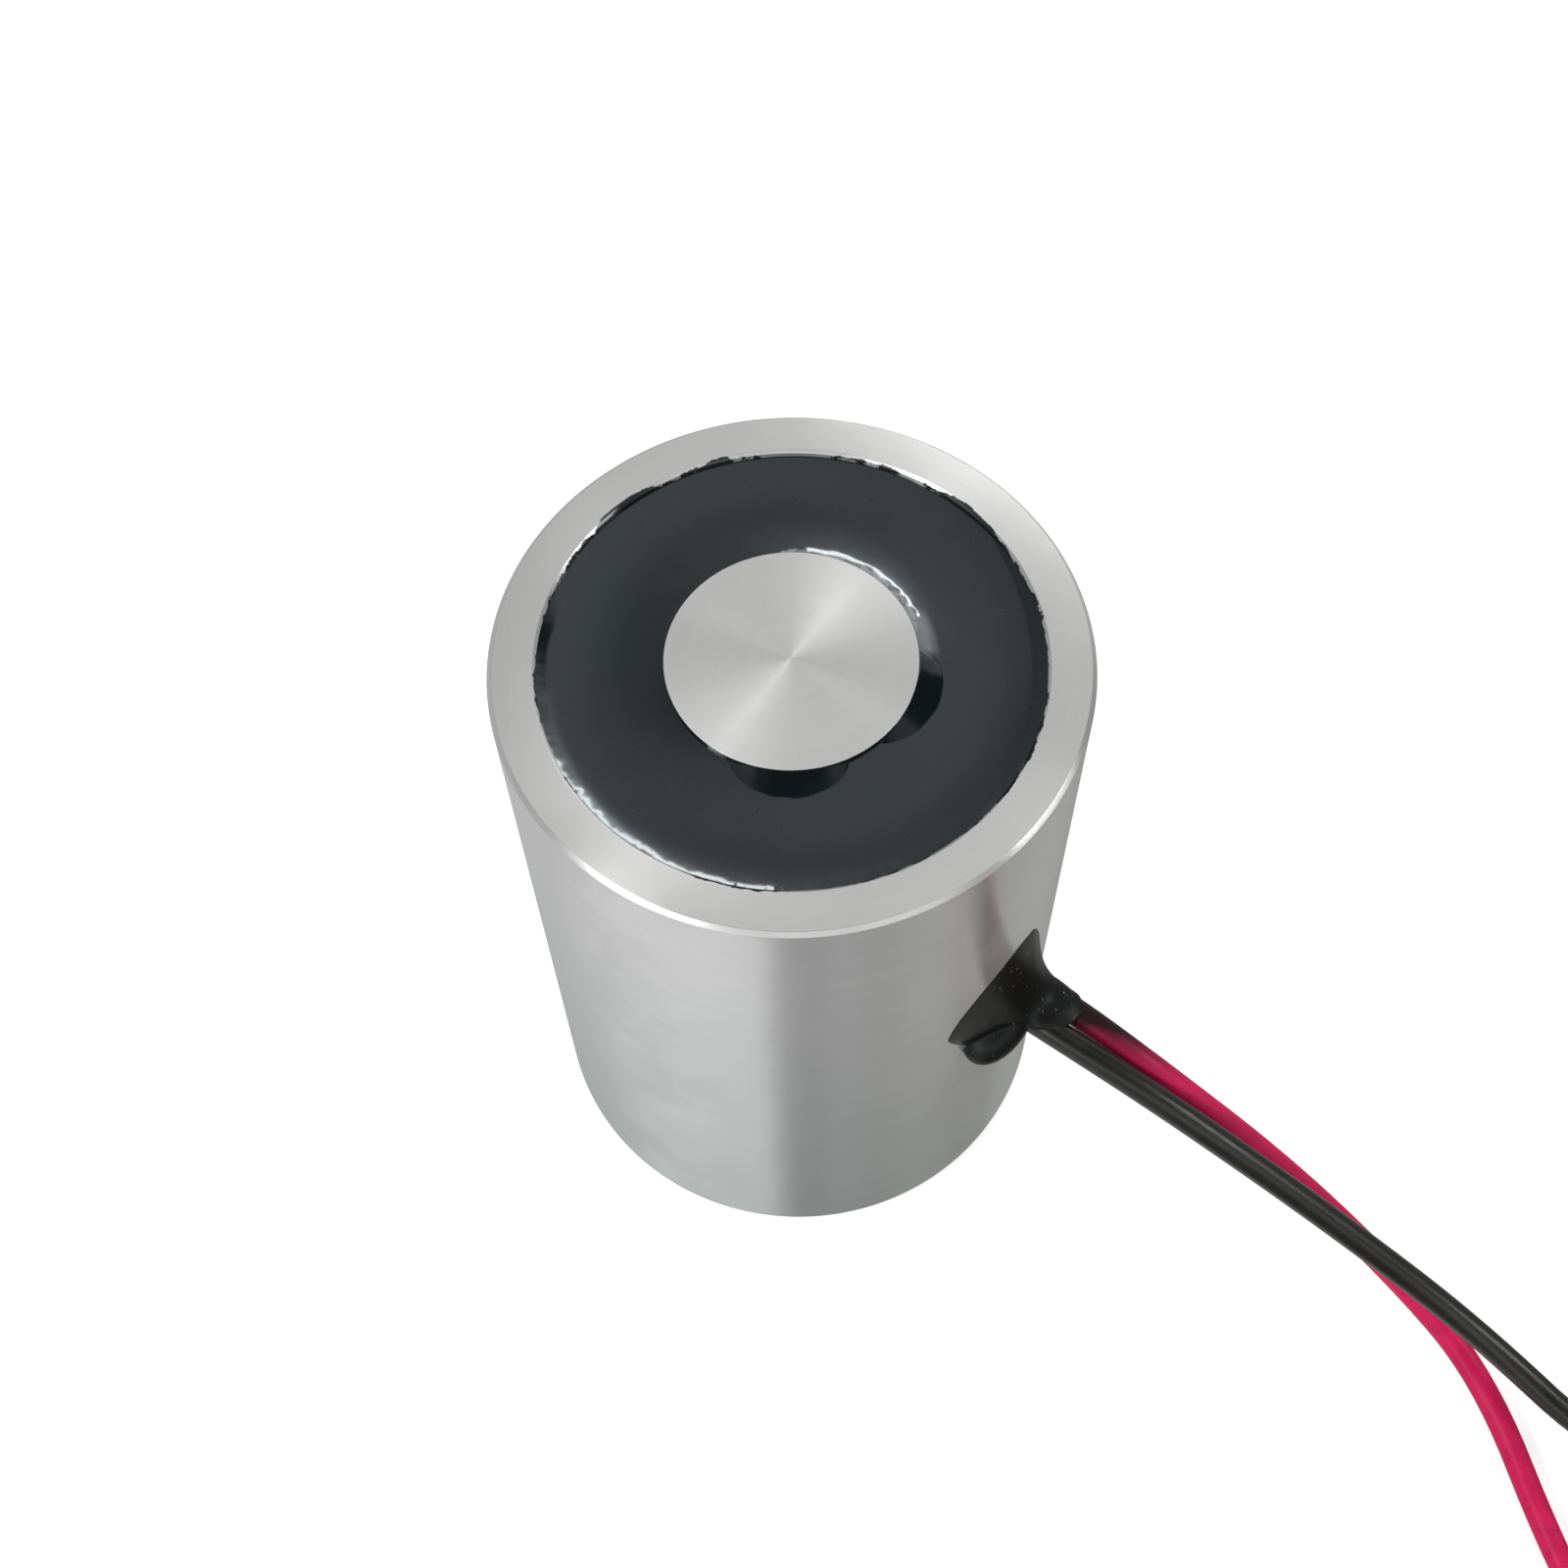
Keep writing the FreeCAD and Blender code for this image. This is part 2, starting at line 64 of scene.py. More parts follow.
# Sizes repeated from part.py that no node's box gives.
SPIGOT_R = 4.0 * MM
EXIT_Z = 17.5 * MM
EXIT_HOLE_R = 1.8 * MM
TAP_DRILL_R = 1.65 * MM
TAP_DEPTH = 9.0 * MM
POINT_DEPTH = 0.99 * MM
THREAD_R = 2.0 * MM
THREAD_PITCH = 0.7 * MM
SINK_R = 2.2 * MM
EDGE_CHAMFER = 0.2 * MM
LEAD_D = 1.3 * MM
CONDUCTOR_R = 0.25 * MM
TIP_LENGTH = 4.0 * MM
RESIN_EDGE = 0.35 * MM
RESIN_DISH = 0.25 * MM


def smooth_noise(x, y, z):
    """Gradient noise of about -1 to 1, the same each run."""
    return noise.noise(Vector((x, y, z)))


def smoothstep(low_painted_shade, high, x):
    t = min(max((x - low_painted_shade) / (high - low_painted_shade), 0.0), 1.0)
    return t * t * (3 - 2 * t)


def direction(azimuth, elevation):
    a = math.radians(azimuth)
    e = math.radians(elevation)
    return Vector((math.cos(a) * math.cos(e), math.sin(a) * math.cos(e), math.sin(e)))


def flat_unit(degrees):
    return Vector((math.cos(math.radians(degrees)), math.sin(math.radians(degrees)), 0))


# Camera

CAMERA_PLACE = Vector((28.54, -38.63, 112.2)) * MM
CAMERA_HEADING = math.radians(37.0)
CAMERA_PITCH = math.radians(61.35)
CAMERA_ROLL = math.radians(-1.77)
LENS = 50.94


def make_camera():
    """Camera at the photograph's place, found by fitting the pot's face and back edges."""
    right = Vector((math.cos(CAMERA_HEADING), math.sin(CAMERA_HEADING), 0))
    level = Vector((-math.sin(CAMERA_HEADING), math.cos(CAMERA_HEADING), 0))
    ahead = level * math.cos(CAMERA_PITCH) - Vector((0, 0, math.sin(CAMERA_PITCH)))
    up = right.cross(ahead)
    rolled_right = right * math.cos(CAMERA_ROLL) + up * math.sin(CAMERA_ROLL)
    rolled_up = up * math.cos(CAMERA_ROLL) - right * math.sin(CAMERA_ROLL)
    data = bpy.data.cameras.new("camera")
    data.lens = LENS
    data.sensor_width = 36.0
    data.clip_start = 0.005
    data.clip_end = 20.0
    camera = bpy.data.objects.new("camera", data)
    bpy.context.scene.collection.objects.link(camera)
    place = Matrix((rolled_right, rolled_up, -ahead)).transposed().to_4x4()
    place.translation = CAMERA_PLACE
    camera.matrix_world = place
    bpy.context.scene.camera = camera


# Shader helpers


def add(tree, kind, inputs=None, **settings):
    """A shader node with its settings; an input is a number, a colour or another node's socket."""
    node = tree.nodes.new(kind)
    for key, value in settings.items():
        setattr(node, key, value)
    for key, value in (inputs or {}).items():
        if isinstance(value, bpy.types.NodeSocket):
            tree.links.new(value, node.inputs[key])
        else:
            node.inputs[key].default_value = value
    return node


def opaque(colour):
    return (*colour, 1.0)


def math_node(tree, operation, first, second=0.0):
    return add(tree, "ShaderNodeMath", {0: first, 1: second}, operation=operation).outputs[0]


def times(tree, first, second):
    return math_node(tree, "MULTIPLY", first, second)


def rest_of_one(tree, value):
    return math_node(tree, "SUBTRACT", 1.0, value)


def weighted_sum(tree, first, first_share, second, second_share):
    return math_node(tree, "ADD", times(tree, first, first_share), times(tree, second, second_share))


def dot_node(tree, first, second):
    node = add(tree, "ShaderNodeVectorMath", {0: first, 1: tuple(second)}, operation="DOT_PRODUCT")
    return node.outputs["Value"]


def noise_node(tree, vector, scale, detail, roughness=0.55):
    return add(tree, "ShaderNodeTexNoise", {"Vector": vector, "Scale": scale, "Detail": detail,
                                            "Roughness": roughness}).outputs["Fac"]


def ramp_node(tree, fac, stops):
    """A colour by a value, through stops that are each a value and a colour."""
    node = add(tree, "ShaderNodeValToRGB", {"Fac": fac})
    ramp = node.color_ramp
    while len(ramp.elements) < len(stops):
        ramp.elements.new(0.5)
    for element, (position, colour) in zip(ramp.elements, stops):
        element.position = position
        element.color = opaque(colour)
    return node.outputs["Color"]


def range_node(tree, value, low_painted_shade, high, to_low, to_high, curve="LINEAR"):
    """A value between low and high, held within them and moved to another span."""
    node = add(tree, "ShaderNodeMapRange", {"Value": value, "From Min": low_painted_shade, "From Max": high,
                                            "To Min": to_low, "To Max": to_high}, interpolation_type=curve)
    return node.outputs["Result"]


def mix_colour(tree, share, first, second, blend="MIX"):
    """From the first colour to the second by a share; their product where blend is MULTIPLY."""
    return add(tree, "ShaderNodeMix", {0: share, 6: first, 7: second}, data_type="RGBA",
               blend_type=blend).outputs[2]


def mix_value(tree, share, first, second):
    return add(tree, "ShaderNodeMix", {0: share, 2: first, 3: second}).outputs[0]


def new_material(name, **sockets):
    """A material with a Principled shader whose sockets are set by their names."""
    material = bpy.data.materials.new(name)
    material.use_nodes = True
    tree = material.node_tree
    shader = tree.nodes["Principled BSDF"]
    for key, value in sockets.items():
        is_colour = isinstance(value, tuple)
        shader.inputs[key.replace("_", " ")].default_value = opaque(value) if is_colour else value
    return material, tree, shader


def object_place(tree):
    return add(tree, "ShaderNodeTexCoord").outputs["Object"]


def parts_of(tree, place):
    return add(tree, "ShaderNodeSeparateXYZ", {0: place}).outputs


def flat_of(tree, parts):
    """The part of a place that lies across Z."""
    return add(tree, "ShaderNodeCombineXYZ", {0: parts[0], 1: parts[1]}).outputs[0]


def length_of(tree, vector):
    return add(tree, "ShaderNodeVectorMath", {0: vector}, operation="LENGTH").outputs["Value"]


def bump(tree, shader, height, distance):
    node = add(tree, "ShaderNodeBump", {"Height": height, "Distance": distance, "Strength": 1.0})
    tree.links.new(node.outputs["Normal"], shader.inputs["Normal"])


# The noise textures stay mostly between these values.
NOISE_LOW = 0.3
NOISE_HIGH = 0.7


def toned(colour, share):
    return tuple(share * c for c in colour)


def mottled(tree, fac, dark, light):
    """A colour that follows a noise from the dark one to the light one."""
    return ramp_node(tree, fac, [(NOISE_LOW, dark), (NOISE_HIGH, light)])


def follow_noise(tree, shader, fac, dark, light, smooth, rough):
    """Base colour and roughness that follow one noise together."""
    tree.links.new(mottled(tree, fac, dark, light), shader.inputs["Base Color"])
    tree.links.new(range_node(tree, fac, NOISE_LOW, NOISE_HIGH, smooth, rough), shader.inputs["Roughness"])


def lay_over(material, share, colour, blend="MIX"):
    """Lay a colour over the base colour that a material has so far."""
    tree = material.node_tree
    socket = tree.nodes["Principled BSDF"].inputs["Base Color"]
    bare = socket.links[0].from_socket
    tree.links.new(mix_colour(tree, share, bare, opaque(colour), blend), socket)


# Materials

STEEL = (0.62, 0.62, 0.615)
STEEL_METALLIC = 0.8
RESIN_FILM = (0.006, 0.008, 0.009)
RESIN_ROUGHNESS = 0.1


def tool_marks(tree, along, scale, detail):
    return add(tree, "ShaderNodeTexNoise", {"W": along, "Scale": scale, "Detail": detail},
               noise_dimensions="1D").outputs["Fac"]


def resin_smear(tree, place, radius, edge):
    """1 where resin is smeared over the inner edge of the face, with a ragged border."""
    broad = noise_node(tree, place, 260.0, 2.0, 0.4)
    fine = noise_node(tree, place, 1400.0, 3.0, 0.6)
    ragged = weighted_sum(tree, broad, 0.65, fine, 0.35)
    reach = range_node(tree, ragged, 0.48, 0.66, edge - 0.03 * MM, edge + 0.22 * MM)
    inside = math_node(tree, "SUBTRACT", reach, radius)
    return range_node(tree, inside, -0.02 * MM, 0.02 * MM, 0.0, 1.0)


def turned_steel(name, roughness, mark_scale, smear_edge=None, film_from=None):
    """Turned steel with tool marks and haze; resin smears its inner edge or films it from a radius."""
    material, tree, shader = new_material(name, Anisotropic=0.9, Anisotropic_Rotation=0.25)
    place = object_place(tree)
    parts = parts_of(tree, place)
    radius = length_of(tree, flat_of(tree, parts))
    along = math_node(tree, "ADD", radius, parts[2])
    fine = tool_marks(tree, along, mark_scale, 3.0)
    coarse = tool_marks(tree, along, mark_scale / 9, 2.0)
    haze = noise_node(tree, place, 260.0, 4.0)
    marks = weighted_sum(tree, fine, 0.5, coarse, 0.5)
    bare = mottled(tree, weighted_sum(tree, marks, 0.6, haze, 0.4), toned(STEEL, 0.96), toned(STEEL, 1.03))
    rough = range_node(tree, haze, NOISE_LOW, NOISE_HIGH, roughness - 0.03, roughness + 0.04)
    near_top = math_node(tree, "GREATER_THAN", parts[2], TOP - 0.5 * MM)
    if smear_edge:
        resin = resin_smear(tree, place, radius, smear_edge)
    else:
        resin = math_node(tree, "GREATER_THAN", radius, film_from)
    resin = times(tree, resin, near_top)
    tree.links.new(mix_colour(tree, resin, bare, opaque(RESIN_FILM)), shader.inputs["Base Color"])
    tree.links.new(mix_value(tree, resin, rough, RESIN_ROUGHNESS), shader.inputs["Roughness"])
    tree.links.new(mix_value(tree, resin, STEEL_METALLIC, 0.0), shader.inputs["Metallic"])
    tangent = add(tree, "ShaderNodeTangent", direction_type="RADIAL", axis="Z").outputs[0]
    tree.links.new(tangent, shader.inputs["Tangent"])
    bump(tree, shader, marks, 0.0009 * MM)
    return material


def paint_shade_low_side(material):
    """Painted shade: a darker, cooler base colour towards the foot of the pot's wall."""
    tree = material.node_tree
    parts = parts_of(tree, object_place(tree))
    radius = length_of(tree, flat_of(tree, parts))
    wall = range_node(tree, radius, SHELL_R - 0.4 * MM, SHELL_R - 0.1 * MM, 0.0, 1.0)
    low_painted_shade = range_node(tree, parts[2], 3 * MM, 29 * MM, 1.0, 0.0)
    # Painted shade: the base colour is multiplied darker low on the wall.
    lay_over(material, times(tree, low_painted_shade, wall), (0.76, 0.8, 0.79), "MULTIPLY")


def cast_resin(name, colour, roughness, ior, speck_limit, dust_and_glint_share):
    """Black casting resin: glossy, with slow waves, grey specks and slightly duller spots. The specks are
    faint dust at a small share and painted glints at a large one.
    """
    material, tree, shader = new_material(name, IOR=ior, Specular_Tint=(0.92, 1.0, 1.04))
    place = object_place(tree)
    cloud = noise_node(tree, place, 180.0, 3.0)
    speck_noise = noise_node(tree, place, 5200.0, 2.0)
    follow_noise(tree, shader, cloud, toned(colour, 0.8), toned(colour, 1.25), roughness, roughness * 1.7)
    # Grey specks: faint dust at a small share, painted glints at a large one.
    speck = times(tree, math_node(tree, "GREATER_THAN", speck_noise, speck_limit), dust_and_glint_share)
    lay_over(material, speck, (0.2, 0.21, 0.22))
    bump(tree, shader, noise_node(tree, place, 420.0, 2.0), 0.02 * MM)
    return material


def grey_at_core(material):
    """Lighter grey laid on the resin next to the core's far edge, and in one streak out from it."""
    # Where the grey band and the streak lie, and the cosines of the angles between which they set in.
    grey_way = flat_unit(92)
    grey_cosines = (0.66, 0.8)
    streak_way = flat_unit(49)
    streak_cosines = (0.975, 0.99)
    tree = material.node_tree
    place = object_place(tree)
    flat = flat_of(tree, parts_of(tree, place))
    radius = length_of(tree, flat)
    heading = add(tree, "ShaderNodeVectorMath", {0: flat}, operation="NORMALIZE").outputs[0]
    side = range_node(tree, dot_node(tree, heading, grey_way), *grey_cosines, -0.3 * MM, 0.3 * MM)
    ragged = times(tree, noise_node(tree, place, 1500.0, 4.0, 0.7), 0.5 * MM)
    reach = math_node(tree, "ADD", math_node(tree, "ADD", side, ragged), CORE_R - 0.18 * MM)
    inside = math_node(tree, "SUBTRACT", reach, radius)
    grey_band = range_node(tree, inside, -0.03 * MM, 0.03 * MM, 0.0, 0.8)
    broken = range_node(tree, noise_node(tree, place, 1900.0, 3.0, 0.6), 0.44, 0.54, 0.25, 1.0)
    streak = range_node(tree, dot_node(tree, heading, streak_way), *streak_cosines, 0.0, 0.5)
    faded = range_node(tree, radius, CORE_R + 0.45 * MM, CORE_R + 0.95 * MM, 1.0, 0.0)
    share = math_node(tree, "MAXIMUM", times(tree, grey_band, broken), times(tree, streak, faded))
    lay_over(material, share, (0.3, 0.31, 0.32))


def soft_vinyl(name, colour, roughness, ior):
    """Extruded insulation: soft gloss with faint mottling and fine grain."""
    material, tree, shader = new_material(name, IOR=ior, Subsurface_Weight=0.08)
    shader.inputs["Subsurface Radius"].default_value = (0.6, 0.2, 0.15)
    shader.inputs["Subsurface Scale"].default_value = 0.4 * MM
    place = object_place(tree)
    mottle = noise_node(tree, place, 900.0, 4.0)
    follow_noise(tree, shader, mottle, toned(colour, 0.86), toned(colour, 1.12),
                 roughness - 0.04, roughness + 0.06)
    bump(tree, shader, noise_node(tree, place, 6500.0, 3.0), 0.006 * MM)
    return material


def film_on_lead(material):
    """Thin dark resin over the red lead where it leaves the bead, longest on the upper side."""
    # The place where the lead leaves the bead, and how it drifts aside and falls from there.
    start = Vector((14.4, 0.75, 17.5)) * MM
    drift = 0.077
    fall = 0.385
    tree = material.node_tree
    place = object_place(tree)
    parts = parts_of(tree, place)
    along = math_node(tree, "SUBTRACT", parts[0], start.x)
    side = math_node(tree, "SUBTRACT", parts[1], start.y)
    side = math_node(tree, "SUBTRACT", side, times(tree, along, drift))
    rise = math_node(tree, "SUBTRACT", parts[2], start.z)
    rise = math_node(tree, "ADD", rise, times(tree, along, fall))
    across = weighted_sum(tree, side, 0.7, rise, 0.5)
    ragged = noise_node(tree, place, 900.0, 3.0)
    edge = weighted_sum(tree, across, 3.6, ragged, 2.4 * MM)
    beyond = math_node(tree, "SUBTRACT", along, edge)
    lay_over(material, range_node(tree, beyond, 0.1 * MM, 4.4 * MM, 0.98, 0.0), (0.004, 0.0035, 0.0035))


def plain_metal(name, colour, roughness, grain_scale):
    """Unpolished metal with mottled tone and a fine uneven surface."""
    material, tree, shader = new_material(name, Metallic=1.0)
    place = object_place(tree)
    mottle = noise_node(tree, place, grain_scale / 3, 4.0)
    follow_noise(tree, shader, mottle, toned(colour, 0.75), toned(colour, 1.15),
                 roughness - 0.07, roughness + 0.1)
    bump(tree, shader, noise_node(tree, place, grain_scale, 3.0), 0.004 * MM)
    return material


def wound_copper(name):
    """Enamelled copper: one ridge for each turn of the wire, layer on layer, with painted shade in the
    grooves between turns.
    """
    wire_pitch = 0.3 * MM
    material, tree, shader = new_material(name, Metallic=1.0, Coat_Weight=0.5, Coat_Roughness=0.15)
    place = object_place(tree)
    half_turn = times(tree, parts_of(tree, place)[2], math.pi / wire_pitch)
    ridge = math_node(tree, "ABSOLUTE", math_node(tree, "SINE", half_turn))
    tone = noise_node(tree, place, 1400.0, 3.0)
    # Painted shade: a much darker copper in the grooves between turns than on the crests.
    shaded_groove = (0.16, 0.045, 0.018)
    crest = (0.62, 0.22, 0.09)
    colour = ramp_node(tree, times(tree, ridge, tone), [(0.1, shaded_groove), (0.6, crest)])
    tree.links.new(colour, shader.inputs["Base Color"])
    tree.links.new(range_node(tree, tone, NOISE_LOW, NOISE_HIGH, 0.25, 0.4), shader.inputs["Roughness"])
    bump(tree, shader, ridge, 0.06 * MM)
    return material


def film_tape(name):
    """Amber polyester tape: smooth film with faint wrinkles round the coil."""
    material, tree, shader = new_material(name, IOR=1.6, Coat_Weight=0.3, Coat_Roughness=0.1)
    place = object_place(tree)
    stretched = add(tree, "ShaderNodeMapping", {"Vector": place, "Scale": (1.0, 1.0, 5.0)}).outputs[0]
    wrinkle = noise_node(tree, stretched, 500.0, 3.0)
    follow_noise(tree, shader, wrinkle, (0.5, 0.26, 0.03), (0.62, 0.36, 0.06), 0.18, 0.32)
    bump(tree, shader, wrinkle, 0.03 * MM)
    return material


def moulded_plastic(name, colour, roughness):
    """Moulded or extruded plastic with a faint cloud and a fine spark finish."""
    material, tree, shader = new_material(name, IOR=1.53)
    place = object_place(tree)
    cloud = noise_node(tree, place, 350.0, 3.0)
    follow_noise(tree, shader, cloud, toned(colour, 0.9), toned(colour, 1.06),
                 roughness - 0.05, roughness + 0.08)
    bump(tree, shader, noise_node(tree, place, 5000.0, 2.0), 0.005 * MM)
    return material


pot_steel = turned_steel("pot_steel", roughness=0.31, mark_scale=9000.0, smear_edge=BORE_R)
# Painted shade low on the pot's wall.
paint_shade_low_side(pot_steel)
core_steel = turned_steel("core_steel", roughness=0.29, mark_scale=11000.0, film_from=CORE_R - 0.012 * MM)
potting_resin = cast_resin("potting_resin", (0.003, 0.0055, 0.007), roughness=0.06, ior=1.58,
                           speck_limit=0.735, dust_and_glint_share=0.12)
grey_at_core(potting_resin)
# The exit bead's grey specks are painted glints.
exit_resin = cast_resin("exit_resin", (0.0048, 0.0048, 0.004), roughness=0.3, ior=1.28,
                        speck_limit=0.715, dust_and_glint_share=0.7)
red_vinyl = soft_vinyl("red_vinyl", (0.56, 0.009, 0.085), roughness=0.42, ior=1.25)
film_on_lead(red_vinyl)
black_vinyl = soft_vinyl("black_vinyl", (0.0115, 0.011, 0.0098), roughness=0.3, ior=1.39)
tinned_copper = plain_metal("tinned_copper", (0.62, 0.61, 0.58), roughness=0.32, grain_scale=9000.0)
solder_metal = plain_metal("solder_metal", (0.5, 0.5, 0.49), roughness=0.42, grain_scale=5000.0)
winding_copper = wound_copper("winding_copper")
amber_tape = film_tape("amber_tape")
bobbin_nylon = moulded_plastic("bobbin_nylon", (0.72, 0.69, 0.6), roughness=0.45)
glass_sleeving = moulded_plastic("glass_sleeving", (0.7, 0.66, 0.5), roughness=0.5)


# Mesh helpers


def new_piece(name, mesh, material, slot_name, *replaced):
    """Put a mesh in the scene as a piece that stands for CAD nodes."""
    piece = bpy.data.objects.new(name, mesh)
    bpy.context.scene.collection.objects.link(piece)
    mesh.materials.append(material)
    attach(piece, "root")
    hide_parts(*replaced)
    return piece


def rings_to_mesh(name, rings, closed=True):
    """A skin through rings of equally many points; closed joins the last ring to the first."""
    count = len(rings[0])
    vertices = [tuple(p) for ring in rings for p in ring]
    faces = []
    steps = len(rings) if closed else len(rings) - 1
    for i in range(steps):
        a = i * count
        b = ((i + 1) % len(rings)) * count
        for j in range(count):
            k = (j + 1) % count
            faces.append((a + j, a + k, b + k, b + j))
    if not closed:
        faces.append(tuple(reversed(range(count))))
        faces.append(tuple(range((len(rings) - 1) * count, len(rings) * count)))
    mesh = bpy.data.meshes.new(name)
    mesh.from_pydata(vertices, [], faces)
    mesh.update()
    outward(mesh)
    shade_smooth(mesh)
    return mesh


def outward(mesh):
    """Turn a closed mesh's faces outwards."""
    work = bmesh.new()
    work.from_mesh(mesh)
    bmesh.ops.recalc_face_normals(work, faces=work.faces)
    work.to_mesh(mesh)
    work.free()


def shade_smooth(mesh):
    mesh.polygons.foreach_set("use_smooth", [True] * len(mesh.polygons))


def rounded_profile(corners):
    """Half section of (radius, height, rounding) corners as (radius, height) points."""
    steps = 4
    points = []
    for i, (r, z, rounding) in enumerate(corners):
        here = Vector((r, z))
        if rounding == 0:
            points.append(here)
            continue
        back = (Vector(corners[i - 1][:2]) - here).normalized()
        ahead = (Vector(corners[(i + 1) % len(corners)][:2]) - here).normalized()
        half = back.angle(ahead) / 2
        reach = rounding / math.tan(half)
        centre = here + (back + ahead).normalized() * rounding / math.sin(half)
        first = here + back * reach - centre
        last = here + ahead * reach - centre
        sweep = first.angle_signed(last)
        for step in range(steps + 1):
            points.append(centre + Matrix.Rotation(-sweep * step / steps, 2) @ first)
    return points


def lathe(name, profile, segments, shift=None):
    """Turn a closed half section about Z; shift may move each point by its angle."""
    rings = []
    for r, z in profile:
        ring = []
        for j in range(segments):
            angle = 2 * math.pi * j / segments
            radius, height = shift(r, z, angle) if shift else (r, z)
            ring.append((radius * math.cos(angle), radius * math.sin(angle), height))
        rings.append(ring)
    return rings_to_mesh(name, rings)


def even_normals(piece):
    modifier = piece.modifiers.new("even_normals", "WEIGHTED_NORMAL")
    modifier.keep_sharp = True
    modifier.weight = 80


def drill(piece, radius, start, end):
    """Cut a round hole from start to end through a piece."""
    axis = end - start
    work = bmesh.new()
    bmesh.ops.create_cone(work, cap_ends=True, segments=96, radius1=radius, radius2=radius,
                          depth=axis.length)
    turn = Vector((0, 0, 1)).rotation_difference(axis).to_matrix().to_4x4()
    work.transform(Matrix.Translation((start + end) / 2) @ turn)
    mesh = bpy.data.meshes.new("drill")
    work.to_mesh(mesh)
    work.free()
    tool = bpy.data.objects.new("drill", mesh)
    bpy.context.scene.collection.objects.link(tool)
    cutter = piece.modifiers.new("drill", "BOOLEAN")
    cutter.operation = "DIFFERENCE"
    cutter.solver = "EXACT"
    cutter.object = tool
    settle(piece)
    bpy.data.objects.remove(tool)


def settle(piece):
    """Replace a piece's mesh by what its modifiers make of it."""
    view = bpy.context.evaluated_depsgraph_get()
    view.update()
    mesh = bpy.data.meshes.new_from_object(piece.evaluated_get(view))
    piece.modifiers.clear()
    old = piece.data
    piece.data = mesh
    bpy.data.meshes.remove(old)


# Turned parts

# Rounding of the turned parts' edges.
FINE_EDGE = 0.05 * MM

# Radius of the opening that the lathe leaves at the middle of a solid.
PIN_R = 0.02 * MM


def make_shell():
    """Pot with fine broken edges, its bore and the drilled hole for the leads."""
    lip = 0.12 * MM
    past_wall = 1 * MM
    profile = rounded_profile([
        (SPIGOT_R, FINE_EDGE * 2, FINE_EDGE),
        (SPIGOT_R + FINE_EDGE, 0.0, 0.0),
        (SHELL_R - EDGE_CHAMFER, 0.0, FINE_EDGE),
        (SHELL_R, EDGE_CHAMFER, FINE_EDGE),
        (SHELL_R, TOP - EDGE_CHAMFER, FINE_EDGE),
        (SHELL_R - EDGE_CHAMFER, TOP, FINE_EDGE),
        (BORE_R + lip, TOP, FINE_EDGE / 2),
        (BORE_R, TOP - lip, FINE_EDGE / 2),
        (BORE_R, FLOOR_Z, 0.0),
        (SPIGOT_R, FLOOR_Z, 0.0),
    ])
    mesh = lathe("pot", profile, 384)
    piece = new_piece("pot", mesh, pot_steel, "pot_steel", "shell")
    inside = Vector((BORE_R - past_wall, 0, EXIT_Z))
    outside = Vector((SHELL_R + past_wall, 0, EXIT_Z))
    drill(piece, EXIT_HOLE_R, inside, outside)
    even_normals(piece)


def thread_radius(z, angle):
    """Radius of the tapped hole's wall: a V thread that runs out at both ends."""
    flank = 2.4
    phase = (z / THREAD_PITCH - angle / (2 * math.pi)) % 1.0
    crest = min(abs(phase - 0.5) * flank, 1.0)
    depth = (THREAD_R - TAP_DRILL_R) * (1 - crest)
    start = smoothstep(0.0, 0.4 * MM, z)
    end = 1 - smoothstep(TAP_DEPTH - 1.6 * MM, TAP_DEPTH - 0.8 * MM, z)
    return TAP_DRILL_R + depth * start * end


def close_centre(mesh, heights):
    """Close the opening that the lathe leaves round Z at these heights, and clear the line between."""
    work = bmesh.new()
    work.from_mesh(mesh)
    for height in heights:
        middle = [v for v in work.verts if v.co.xy.length < 1.5 * PIN_R and abs(v.co.z - height) < 1e-6]
        bmesh.ops.pointmerge(work, verts=middle, merge_co=Vector((0, 0, height)))
    line = [e for e in work.edges if all(v.co.xy.length < 1e-7 for v in e.verts)]
    bmesh.ops.delete(work, geom=line, context="EDGES")
    work.to_mesh(mesh)
    work.free()
    outward(mesh)
    shade_smooth(mesh)


def make_core():
    """Pole piece with its pressed spigot and the tapped blind hole in its back."""
    sink = SINK_R - TAP_DRILL_R
    face_edge = 0.015 * MM
    point = TAP_DEPTH + POINT_DEPTH
    thread_step = 0.05 * MM
    profile = rounded_profile([
        (TAP_DRILL_R, sink, 0.0),
        (SINK_R, 0.0, 0.0),
        (SPIGOT_R - FINE_EDGE, 0.0, 0.0),
        (SPIGOT_R - FINE_EDGE / 2, FINE_EDGE * 2, 0.0),
        (SPIGOT_R - FINE_EDGE / 2, FLOOR_Z, 0.0),
        (CORE_R, FLOOR_Z, 0.0),
        (CORE_R, TOP - face_edge, face_edge / 3),
        (CORE_R - face_edge, TOP, face_edge / 3),
        (PIN_R, TOP, 0.0),
        (PIN_R, point, 0.0),
    ])
    for i in range(int((TAP_DEPTH - sink) / thread_step)):
        profile.append(Vector((TAP_DRILL_R, TAP_DEPTH - i * thread_step)))

    def shift(r, z, angle):
        if abs(r - TAP_DRILL_R) < 1e-7 and sink < z < TAP_DEPTH:
            return thread_radius(z, angle), z
        return r, z

    mesh = lathe("pole_core", profile, 144, shift)
    close_centre(mesh, (TOP, point))
    piece = new_piece("pole_core", mesh, core_steel, "core_steel", "core")
    even_normals(piece)


# Cast resin

# Bearing at which the least slope of a climb mirrors the window to the camera.
MIRROR_BEARING = 126

